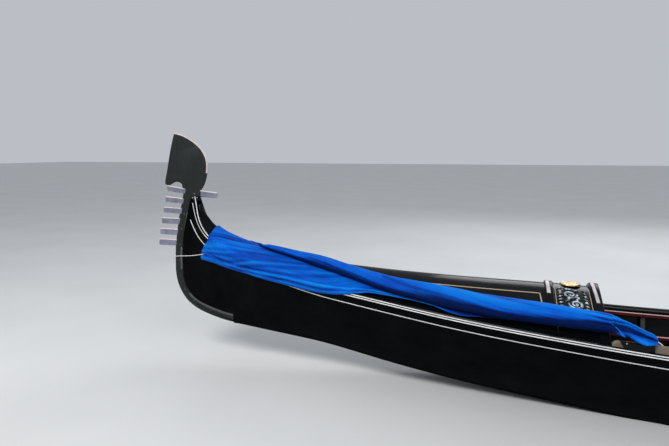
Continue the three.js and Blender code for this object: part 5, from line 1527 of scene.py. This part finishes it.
WELL_XS = np.arange(2.40, -2.85, -0.03)
fascia, beads = Heap(), Heap()
for side, at in ((1, portAt), (-1, starAt)):
    rings, low, mid = [], [], []
    for x in WELL_XS:
        b, z = float(at(x)), float(sheerAt(x))
        rings.append([(x, side * (b - q), z + h) for q, h in ((0.0866, -0.0233), (0.0914, -0.0233), (0.0914, -0.0462), (0.0902, -0.0475), (0.0878, -0.0475), (0.0866, -0.0462))])
        low.append((x, side * (b - 0.0912), z - 0.0252))
        sx = float(inner_y(x, z - 0.165, side)) - 0.048 - 0.022
        mid.append((x, side * (sx + 0.0005), z - 0.1690))
    fascia.tube(rings)
    ring = half_round(0.0080, 0.0036, k=9, foot=0.0015)
    beads.tube(sweep(low, np.array([0.0, -side, 0.12]), ring))
    beads.tube(sweep(np.array(mid)[1:-1], np.array([0.0, -side, 0.25]), half_round(0.0085, 0.0034, k=9, foot=0.0015)))
finish_piece(fascia, "well_fascia", red_dark, angle=40)
finish_piece(beads, "well_beads", bead_pink_highlight, angle=50)
dress("port_stringer", red_dark, 0.002)
dress("starboard_stringer", red_dark, 0.002)
dress("frames", bilge, 0.002)
block_black = gloss_black("block varnish", rough=0.22, wave=0.3, scuff=0.8)
dress("port_fore_rowlock_block", block_black, 0.0035)
copper = metal("copper", (0.62, 0.30, 0.18), rough=0.35, dark=0.3, spots=0.4, patina=(0.16, 0.07, 0.04))
heap = Heap()
for x in (2.353,):
    heap.turned([(0.0052, -0.002), (0.0052, 0.0004), (0.0040, 0.0014), (0.0012, 0.0018)], (x, float(portAt(x)) - 0.0070, float(sheerAt(x)) + 0.0335), axis="Y", steps=20)
finish_piece(heap, "block_pin", copper, angle=50)

# ------------------------------------------------------------------ bulkheads and locker doors
heap_trim = Heap()


def trim(heap, axis, at, out, a0, a1, b0, b1, w=0.008, h=0.003):
    """Moulding round a rectangle on a flat face."""
    for q in ((a0, a1, b0, b0 + w), (a0, a1, b1 - w, b1), (a0, a0 + w, b0 + w, b1 - w), (a1 - w, a1, b0 + w, b1 - w)):
        lo, hi = (at - 0.001 * out, at + out * h)
        if axis == "x":
            heap.block(min(lo, hi), max(lo, hi), q[0], q[1], q[2], q[3], 0.0012, 2)
        else:
            heap.block(q[0], q[1], min(lo, hi), max(lo, hi), q[2], q[3], 0.0012, 2)


for tag, face, inward in (("bow", 2.455, -1), ("stern", -2.915, 1)):
    dress(tag + "_bulkhead", red_panel, 0.0015)
    trim(heap_trim, "x", face, inward, -0.186, 0.186, 0.104, 0.471, 0.010, 0.0045)
    hp = Heap()
    back, front = face - inward * 0.0158, face - inward * 0.0002
    lo, hi = min(back, front), max(back, front)
    y0, y1, z0, z1, w = -0.1545, 0.1545, 0.1355, 0.4395, 0.046
    hp.block(lo, hi, y0, y0 + w, z0, z1, 0.0015, 2)
    hp.block(lo, hi, y1 - w, y1, z0, z1, 0.0015, 2)
    hp.block(lo, hi, y0 + w + 0.0003, y1 - w - 0.0003, z0, z0 + w, 0.0015, 2)
    hp.block(lo, hi, y0 + w + 0.0003, y1 - w - 0.0003, z1 - w, z1, 0.0015, 2)
    p0, p1 = (lo + 0.002, hi - 0.006) if inward > 0 else (lo + 0.006, hi - 0.002)
    hp.block(p0, p1, y0 + w - 0.004, y1 - w + 0.004, z0 + w - 0.004, z1 - w + 0.004, 0.0, 1)
    # raised field of the panel
    r0, r1 = (hi - 0.0065, hi - 0.0018) if inward > 0 else (lo + 0.0018, lo + 0.0065)
    hp.block(r0, r1, y0 + w + 0.022, y1 - w - 0.022, z0 + w + 0.022, z1 - w - 0.022, 0.0028, 1)
    finish_piece(hp, tag + "_door_leaf", red_panel, body=tag + "_door", replaces=[tag + "_locker_door"], angle=30)
    kx = face
    prof = [(0.0040, -0.001), (0.0085, 0.0005), (0.0088, 0.0018), (0.0045, 0.0036), (0.0036, 0.0080), (0.0060, 0.0105), (0.0092, 0.0128), (0.0098, 0.0150), (0.0080, 0.0168), (0.0035, 0.0176)]
    hk = Heap()
    hk.turned([(r, inward * h) for r, h in prof], (kx, 0.121, 0.2875), axis="X", steps=36)
    hk.block(min(face, face + inward * 0.0012) , max(face, face + inward * 0.0012), 0.109, 0.133, 0.262, 0.313, 0.0005, 1)
    for z in (0.190, 0.385):
        a, b = face - inward * 0.0006, face + inward * 0.0014
        hk.block(min(a, b), max(a, b), -0.1535, -0.1130, z - 0.013, z + 0.013, 0.0006, 1)
        for y, dz in ((-0.146, 0.007), (-0.146, -0.007), (-0.122, 0.0)):
            hk.turned([(0.0030, 0.0), (0.0030, inward * 0.0018), (0.0018, inward * 0.0026)], (face, y, z + dz), axis="X", steps=14)
    finish_piece(hk, tag + "_door_knob", brass, body=tag + "_door", angle=40)

# ------------------------------------------------------------------ floor
SPANS = [("fore_floorboards", 2.4195, 0.7205), ("middle_floorboards", 0.6795, -1.3795), ("aft_floorboards", -1.4205, -2.8595)]
BOARD, SLIT = 0.094, 0.005
nails = Heap()
FRAMES_AT = [2.05, 1.45, 0.90, 0.35, -0.20, -0.75, -1.25, -1.80, -2.30, -2.70]
for name, x0, x1 in SPANS:
    xs = np.unique(np.concatenate([np.arange(x1, x0, 0.04), [x0, x1]]))[::-1]
    yp, ys, zk = chineP(xs) - 0.0425, -(chineS(xs) - 0.0425), keelAt(xs)
    heap = Heap()
    k0 = int(math.floor(ys.min() / (BOARD + SLIT))) - 1
    for k in range(k0, int(yp.max() / (BOARD + SLIT)) + 2):
        a, b = k * (BOARD + SLIT), k * (BOARD + SLIT) + BOARD
        lo, hi = np.maximum(a, ys), np.minimum(b, yp)
        ok = hi - lo > 0.006
        run = np.flatnonzero(ok)
        if len(run) < 3:
            continue
        run = np.arange(run[0], run[-1] + 1)
        dip = 0.0006 * math.sin(k * 2.7)
        e = 0.0016
        rings = []
        for i in run:
            z0, z1 = zk[i] + 0.0602, zk[i] + 0.0738 - abs(dip)
            l, h = lo[i], hi[i]
            m = min(e, (h - l) / 3)
            rings.append([(xs[i], l, z0), (xs[i], l, z1 - m), (xs[i], l + m, z1), (xs[i], h - m, z1), (xs[i], h, z1 - m), (xs[i], h, z0)])
        heap.tube(rings, tone=0.35 + 0.3 * (k % 3) / 2)
        for fx in FRAMES_AT:
            if x1 + 0.02 < fx < x0 - 0.02:
                l, h = np.interp(-fx, -xs[run], lo[run]), np.interp(-fx, -xs[run], hi[run])
                if h - l > 0.05 and xs[run[-1]] < fx < xs[run[0]]:
                    for y in (l + 0.018, h - 0.018):
                        nails.turned([(0.0034, -0.0004), (0.0034, 0.0002), (0.0020, 0.0008)], (fx + 0.003 * math.sin(k * 5 + fx), y, float(keelAt(fx)) + 0.0737), steps=12)
    finish_piece(heap, name.replace("floorboards", "floor_planks"), board_wood, replaces=[name], angle=30)
finish_piece(nails, "floor_nails", dark_iron, angle=50)
for n in ("fore_thwart", "middle_thwart", "aft_thwart"):
    dress(n, thwart_wood, 0.007, 4)

# ------------------------------------------------------------------ seats
for n in ("main_seat_base", "port_side_bench", "starboard_side_bench"):
    dress(n, seat_black, 0.005, 3)
dress("footrest", seat_black, 0.006, 3)
heap = Heap()
trim(heap, "x", -1.120, 1, -0.300, 0.430, 0.060, 0.188, 0.009, 0.0035)
trim(heap, "x", -1.120, 1, -0.262, 0.030, 0.085, 0.163, 0.005, 0.0030)
trim(heap, "x", -1.120, 1, 0.100, 0.392, 0.085, 0.163, 0.005, 0.0030)
trim(heap, "y", 0.215, -1, -0.725, -0.095, 0.050, 0.178, 0.009, 0.0035)
trim(heap, "y", -0.115, 1, -0.725, -0.095, 0.050, 0.178, 0.009, 0.0035)
for x in (-0.58, -0.24):
    trim(heap, "y", 0.215, -1, x - 0.11, x + 0.11, 0.076, 0.152, 0.005, 0.0030)
    trim(heap, "y", -0.115, 1, x - 0.11, x + 0.11, 0.076, 0.152, 0.005, 0.0030)
trim(heap, "x", -0.760, -1, 0.245, 0.440, 0.070, 0.178, 0.007, 0.0030)
trim(heap, "x", -0.760, -1, -0.320, -0.145, 0.070, 0.178, 0.007, 0.0030)
trim(heap, "x", -0.060, 1, 0.245, 0.440, 0.070, 0.178, 0.007, 0.0030)
trim(heap, "x", -0.060, 1, -0.320, -0.145, 0.070, 0.178, 0.007, 0.0030)
finish_piece(heap, "seat_gilt_beads", gilt, angle=30)
finish_piece(heap_trim, "bulkhead_mouldings", line_tan, angle=30)


def bake(o):
    """Replace a piece's mesh by what its modifiers make of it."""
    deps = bpy.context.evaluated_depsgraph_get()
    mesh = bpy.data.meshes.new_from_object(o.evaluated_get(deps))
    old, o.data = o.data, mesh
    o.modifiers.clear()
    bpy.data.meshes.remove(old)
    return o


def coords(mesh):
    v = np.empty(len(mesh.vertices) * 3)
    mesh.vertices.foreach_get("co", v)
    return v.reshape(-1, 3)


def stuffed(node, name, material, cap, voxel, inset, buttons=(), press=4.0, rests_floor=None, front=None):
    """A cushion: the plain pad, drawn in a little, swollen by cloth under pressure, then dented at its buttons."""
    src = NODES[node]
    src = bpy.data.objects[src] if isinstance(src, str) else src
    base = src.data.copy()
    p = coords(base)
    mid = (p.min(0) + p.max(0)) / 2
    half = (p.max(0) - p.min(0)) / 2
    shape = p.copy()
    p = mid + (p - mid) * ((half - inset) / half)
    base.vertices.foreach_set("co", p.ravel())
    o = bpy.data.objects.new(name, base)
    scene.collection.objects.link(o)
    m = o.modifiers.new("remesh", "REMESH")
    m.mode, m.voxel_size, m.use_smooth_shade = "VOXEL", voxel, True
    bake(o)
    rest = coords(o.data)
    c = o.modifiers.new("stuffing", "CLOTH")
    st = c.settings
    st.quality, st.mass, st.air_damping = 5, 0.3, 1.0
    st.tension_stiffness = st.compression_stiffness = 15
    st.shear_stiffness, st.bending_stiffness = 5, 0.5
    st.use_pressure, st.uniform_pressure_force = True, press
    st.effector_weights.gravity = 0
    c.collision_settings.use_collision = False
    c.point_cache.frame_start, c.point_cache.frame_end = 1, 20
    for frame_no in range(1, 21):
        scene.frame_set(frame_no)
    got = coords(o.evaluated_get(bpy.context.evaluated_depsgraph_get()).data)
    o.modifiers.remove(c)
    scene.frame_set(1)
    move = got - rest
    ln = np.linalg.norm(move, axis=1)
    k = np.minimum(1.0, cap / np.maximum(ln, 1e-9))
    p = rest + move * k[:, None]
    lo, hi = shape.min(0), shape.max(0)
    # flat where it rests
    p[:, 2] = np.maximum(p[:, 2], lo[2] + 0.0005)
    for k in range(3):
        over_hi, under_lo = p[:, k] > hi[k] + 0.006, p[:, k] < lo[k] - 0.006
        p[over_hi, k] = hi[k] + 0.006 + 0.2 * (p[over_hi, k] - hi[k] - 0.006)
        p[under_lo, k] = lo[k] - 0.006 + 0.2 * (p[under_lo, k] - lo[k] + 0.006)
    # small slack creases from the corners and long soft dents
    p[:, 2] += 0.0012 * lumps(p[:, 0] * 14 + 3, p[:, 1] * 14) * (p[:, 2] > mid[2])
    if front is None:
        for bx, by in buttons:
            d = np.hypot(p[:, 0] - bx, p[:, 1] - by)
            p[:, 2] -= (p[:, 2] > mid[2]) * (0.011 * np.exp(-(d / 0.020) ** 2) + 0.005 * np.exp(-(d / 0.055) ** 2))
    else:
        for by, bz in buttons:
            d = np.hypot(p[:, 1] - by, p[:, 2] - bz)
            f = p[:, 0] > front(p[:, 2]) - 0.022
            p[:, 0] -= f * (0.013 * np.exp(-(d / 0.022) ** 2) + 0.007 * np.exp(-(d / 0.06) ** 2))
    o.data.vertices.foreach_set("co", p.ravel())
    o.data.update()
    o.data.materials.clear()
    o.data.materials.append(material)
    s = o.modifiers.new("finer", "SUBSURF")
    s.levels = s.render_levels = 1
    smooth_mesh(o.data, 180)
    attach(o, "hull")
    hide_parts(node)
    return o, p, lo, hi


def piping(o, loops, name, material, r=0.0042):
    """Corded seam laid on a cushion where loops of points come nearest its cover."""
    tree = bvh_of(o)
    heap = Heap()
    for loop in loops:
        loop = np.asarray(loop, float)
        pts = []
        for a, b in zip(loop, np.roll(loop, -1, axis=0)):
            n = max(1, int(np.linalg.norm(b - a) / 0.012))
            pts += [a + (b - a) * k / n for k in range(n)]
        got = []
        for q in pts:
            hit = tree.find_nearest(Vector(q))
            got.append(np.array(hit[0][:]) + np.array(hit[1][:]) * r * 0.25)
        got = np.array(got)
        for _ in range(6):
            got = 0.5 * got + 0.25 * (np.roll(got, 1, axis=0) + np.roll(got, -1, axis=0))
        t = np.roll(got, -1, axis=0) - np.roll(got, 1, axis=0)
        t /= np.linalg.norm(t, axis=1)[:, None]
        out = got - got.mean(0)
        out -= (out * t).sum(1)[:, None] * t
        out /= np.linalg.norm(out, axis=1)[:, None]
        b = np.cross(t, out)
        a = np.linspace(0, 2 * math.pi, 8, endpoint=False)
        rings = got[:, None, :] + r * (np.cos(a)[None, :, None] * out[:, None, :] + np.sin(a)[None, :, None] * b[:, None, :])
        heap.tube(rings, loop=True, caps=False)
    return finish_piece(heap, name, material, angle=180)


def box_loops(lo, hi, e=0.004):
    a, b = lo + e, hi - e
    ring = lambda z: [(a[0], a[1], z), (b[0], a[1], z), (b[0], b[1], z), (a[0], b[1], z)]
    return [ring(a[2]), ring(b[2])]


studs = Heap()
for tag, ys in (("port", (0.285, 0.400)), ("starboard", (-0.290, -0.175))):
    spots = [(x, y) for x in (-0.64, -0.41, -0.18) for y in ys]
    o, p, lo, hi = stuffed(tag + "_bench_cushion", tag + "_bench_pad", leather, 0.014, 0.008, 0.007, buttons=spots)
    piping(o, box_loops(lo, hi), tag + "_bench_piping", leather)
    for bx, by in spots:
        d = np.hypot(p[:, 0] - bx, p[:, 1] - by) + (p[:, 2] < (lo[2] + hi[2]) / 2)
        z = p[np.argmin(d), 2]
        studs.turned([(0.0006, -0.004), (0.0075, -0.003), (0.0090, 0.0002), (0.0080, 0.0022), (0.0045, 0.0036), (0.0010, 0.0041)], (bx, by, z + 0.001), steps=24)
finish_piece(studs, "bench_buttons", leather, angle=180)

spots = [(x, y) for x in (-1.46, -1.25) for y in (-0.145, 0.065, 0.275)]
o, p, lo, hi = stuffed("main_seat_cushion", "main_seat_pad", velvet, 0.018, 0.010, 0.008, buttons=spots)
piping(o, box_loops(lo, hi), "main_seat_piping", velvet, 0.0046)
studs = Heap()
for bx, by in spots:
    d = np.hypot(p[:, 0] - bx, p[:, 1] - by) + (p[:, 2] < (lo[2] + hi[2]) / 2)
    studs.turned([(0.0006, -0.004), (0.0085, -0.003), (0.0100, 0.0002), (0.0088, 0.0024), (0.0048, 0.0038), (0.0010, 0.0043)], (bx, by, p[np.argmin(d), 2] + 0.001), steps=24)
LEAN = lambda z: -1.558 - 0.12 * (z - 0.217)
spots = [(y, z) for z, ys in ((0.39, (-0.20, -0.067, 0.067, 0.20, 0.333)), (0.50, (-0.134, 0.0, 0.134, 0.267))) for y in ys]
o, p, lo, hi = stuffed("main_seat_back_cushion", "main_seat_back_pad", velvet, 0.013, 0.008, 0.006, buttons=spots, front=LEAN)
for by, bz in spots:
    near = np.hypot(p[:, 1] - by, p[:, 2] - bz) < 0.010
    x = p[near, 0].max() if near.any() else LEAN(bz)
    studs.turned([(0.0006, -0.004), (0.0085, -0.003), (0.0100, 0.0002), (0.0088, 0.0024), (0.0048, 0.0038), (0.0010, 0.0043)], (x + 0.001, by, bz), axis="X", steps=24)
finish_piece(studs, "main_seat_buttons", velvet, angle=180)
z0, z1 = 0.304, 0.586
ring = lambda dx: [(LEAN(z0) + dx, -0.306, z0), (LEAN(z0) + dx, 0.436, z0), (LEAN(z1) + dx, 0.436, z1), (LEAN(z1) + dx, -0.306, z1)]
piping(o, [ring(-0.006), ring(-0.048)], "main_seat_back_piping", velvet, 0.0044)

# carved back of the main seat
BACKREST = np.array([[-380, 217], [510, 217], [525, 420], [505, 560], [440, 625], [330, 640], [220, 665], [150, 730], [65, 770], [-20, 730], [-90, 665], [-200, 640], [-310, 625], [-375, 560], [-395, 420]]) / 1000
FACE = lambda z: -1.614 - 0.12 * (z - 0.217)
dress("main_seat_backrest", seat_black, 0.0045, 3)
heap = Heap()


def on_back(path, out=1, w=0.010, h=0.0028):
    """Bead on the front (out 1) or the rear of the leaning back."""
    path = resample(path, 0.006)
    pts = np.column_stack([FACE(path[:, 1]) + (0.0 if out > 0 else -0.026), path])
    return sweep(pts, np.array([out, 0.0, 0.12 * out]), half_round(w, h, foot=0.001))


top = BACKREST[2:]
for out in (1, -1):
    edge = np.array([[515, 440], [494, 550], [434, 606], [328, 621], [213, 648], [140, 713], [65, 749], [-10, 713], [-83, 648], [-198, 621], [-304, 606], [-364, 550], [-385, 440]]) / 1000
    heap.tube(on_back(edge, out))
    for side in (1, -1):
        m = lambda a: [(0.065 + side * y, z) for y, z in a]
        th = np.linspace(0, 3.2 * math.pi, 60)
        r = 0.034 * (1 - 0.78 * th / th[-1])
        cy, cz = 0.118, 0.650
        heap.tube(on_back(m(np.stack([cy + r * np.cos(th - 0.6), cz + r * np.sin(th - 0.6)], 1)), out, 0.008, 0.003))
        heap.tube(on_back(m([(0.152, 0.655), (0.215, 0.617), (0.285, 0.603), (0.345, 0.597)]), out, 0.008, 0.003))
        for k in range(4):
            y = 0.19 + 0.045 * k
            heap.tube(on_back(m([(y, 0.616 - 0.06 * (y - 0.19)), (y + 0.016, 0.632 - 0.14 * (y - 0.19)), (y + 0.034, 0.622 - 0.12 * (y - 0.19))]), out, 0.0075, 0.0030))
    z = 0.705
    x = FACE(z) + (0.0 if out > 0 else -0.026)
    rings = []
    for r, h in ((0.030, -0.001), (0.030, 0.002), (0.026, 0.0035), (0.021, 0.0022), (0.019, 0.0030), (0.012, 0.0046), (0.002, 0.0052)):
        a = np.linspace(0, 2 * math.pi, 40, endpoint=False)
        q = r * (1 + (0.06 * np.cos(8 * a) if 0.015 < r < 0.028 else 0))
        zz = z + q * np.sin(a)
        rings.append(np.stack([x - 0.12 * (zz - z) + out * h, 0.065 + q * np.cos(a), zz], 1))
    heap.tube(rings)
finish_piece(heap, "main_seat_carving", gilt, angle=60)

# ------------------------------------------------------------------ brass sea-horses
def blob(points, radii, flat=1.0, k=14):
    """Tube through (x, y, z) points with its own radius at each, pressed to flat across."""
    points = np.asarray(points, float)
    d = np.concatenate([[0], np.cumsum(np.linalg.norm(np.diff(points, axis=0), axis=1))])
    q = np.linspace(0, d[-1], max(8, int(d[-1] / 0.003)))
    path, r = spline(d, points)(q), np.interp(q, d, radii)
    t = np.gradient(path, axis=0)
    t /= np.linalg.norm(t, axis=1)[:, None]
    n = np.cross(t, [0, 1.0, 0])
    n /= np.linalg.norm(n, axis=1)[:, None]
    a = np.linspace(0, 2 * math.pi, k, endpoint=False)
    return path[:, None, :] + r[:, None, None] * (np.cos(a)[None, :, None] * n[:, None, :] + flat * np.sin(a)[None, :, None] * np.array([0, 1.0, 0])[None, None, :])


def fused(heap, name, material, voxel, smooth, **more):
    """Close a heap of overlapping shapes into one skin."""
    mesh = bpy.data.meshes.new(name)
    mesh.from_pydata(np.concatenate(heap.v).tolist(), [], heap.f)
    bm = bmesh.new()
    bm.from_mesh(mesh)
    bmesh.ops.recalc_face_normals(bm, faces=bm.faces[:])
    bm.to_mesh(mesh)
    bm.free()
    o = bpy.data.objects.new(name, mesh)
    scene.collection.objects.link(o)
    m = o.modifiers.new("fuse", "REMESH")
    m.mode, m.voxel_size, m.use_smooth_shade = "VOXEL", voxel, True
    if smooth:
        m = o.modifiers.new("ease", "SMOOTH")
        m.factor, m.iterations = 0.5, smooth
    bake(o)
    smooth_mesh(o.data, 80)
    o.data.materials.clear()
    o.data.materials.append(material)
    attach(o, "hull")
    if more.get("replaces"):
        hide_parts(*more["replaces"])
    return o


for tag, side, at in (("port", 1, portAt), ("starboard", -1, starAt)):
    x0, z0 = -0.930, float(sheerAt(-0.930)) - 0.0004
    y0 = side * (float(at(-0.930)) - 0.064)
    P = lambda a: [(x0 + x, y0, z0 + z) for x, z in a]
    heap = Heap()
    heap.block(x0 - 0.0445, x0 + 0.0445, y0 - 0.0088, y0 + 0.0088, z0 + 0.0003, z0 + 0.0095, 0.002, 2)
    heap.tube(blob(P([(-0.034, 0.012), (-0.012, 0.020), (0.006, 0.012)]), [0.006, 0.009, 0.006], 0.8))
    # tail, belly, neck and head
    heap.tube(blob(P([(0.004, 0.026), (0.014, 0.022), (0.020, 0.031), (0.012, 0.040), (-0.002, 0.036), (-0.014, 0.046), (-0.016, 0.066), (-0.004, 0.084), (0.000, 0.104), (-0.010, 0.124), (-0.012, 0.146), (0.000, 0.166), (0.014, 0.172)]),
                   [0.0040, 0.0050, 0.0055, 0.0065, 0.0080, 0.0100, 0.0120, 0.0165, 0.0180, 0.0150, 0.0125, 0.0125, 0.0105], 0.56))
    heap.tube(blob(P([(0.008, 0.172), (0.026, 0.164), (0.040, 0.150), (0.045, 0.143)]), [0.0105, 0.0080, 0.0055, 0.0050], 0.62))
    for k in range(7):
        t = k / 6
        bx, bz = -0.028 - 0.004 * math.sin(t * 3.0), 0.092 + 0.082 * t
        heap.tube(blob(P([(bx + 0.012, bz), (bx - 0.002, bz + 0.005)]), [0.0050, 0.0022], 0.45))
    heap.tube(blob(P([(-0.002, 0.176), (-0.008, 0.190)]), [0.0045, 0.0018], 0.7))
    # fin on the belly
    heap.tube(blob(P([(0.010, 0.098), (0.026, 0.092), (0.031, 0.080)]), [0.0100, 0.0070, 0.0022], 0.30))
    fused(heap, tag + "_seahorse_casting", brass, 0.0016, 2, replaces=[tag + "_seahorse"], slot="brass")

# ------------------------------------------------------------------ oar lock, its block and the rowing platform
def carved_copy(node, name, material, voxel, smooth):
    src = NODES[node]
    src = bpy.data.objects[src] if isinstance(src, str) else src
    o = bpy.data.objects.new(name, src.data.copy())
    scene.collection.objects.link(o)
    m = o.modifiers.new("fuse", "REMESH")
    m.mode, m.voxel_size, m.use_smooth_shade = "VOXEL", voxel, True
    m = o.modifiers.new("ease", "SMOOTH")
    m.factor, m.iterations = 0.5, smooth
    bake(o)
    smooth_mesh(o.data, 180)
    o.data.materials.clear()
    o.data.materials.append(material)
    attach(o, "hull")
    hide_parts(node)
    return o


carved_copy("forcola", "forcola_carving", walnut_wood, 0.0035, 22)
dress("forcola_block", seat_black, 0.006, 3)

heap = Heap()
edges = np.arange(-3.1505, -3.6995, -0.0705)
us = np.linspace(0.122, 0.858, 14)
for k, x in enumerate(edges[:-1]):
    x1 = max(x - 0.0640, -3.6995)
    xs = [x, x - 0.001, x - 0.003, x1 + 0.003, x1 + 0.001, x1]
    rise = [0.0180, 0.0196, 0.0206, 0.0206, 0.0196, 0.0180]
    heap.tube(deck_shell(place_of(xs), us, rise, np.array(rise) - 0.0070), tone=0.3 + 0.2 * (k % 3))
for u in (0.20, 0.50, 0.80):
    xs = np.arange(-3.1560, -3.6940, -0.04)
    heap.tube(deck_shell(place_of(xs), np.array([u - 0.025, u, u + 0.025]), [0.0074] * len(xs), np.full(len(xs), 0.0042)))
finish_piece(heap, "rowing_platform_slats", tan_wood, replaces=["rowing_platform"], angle=30)
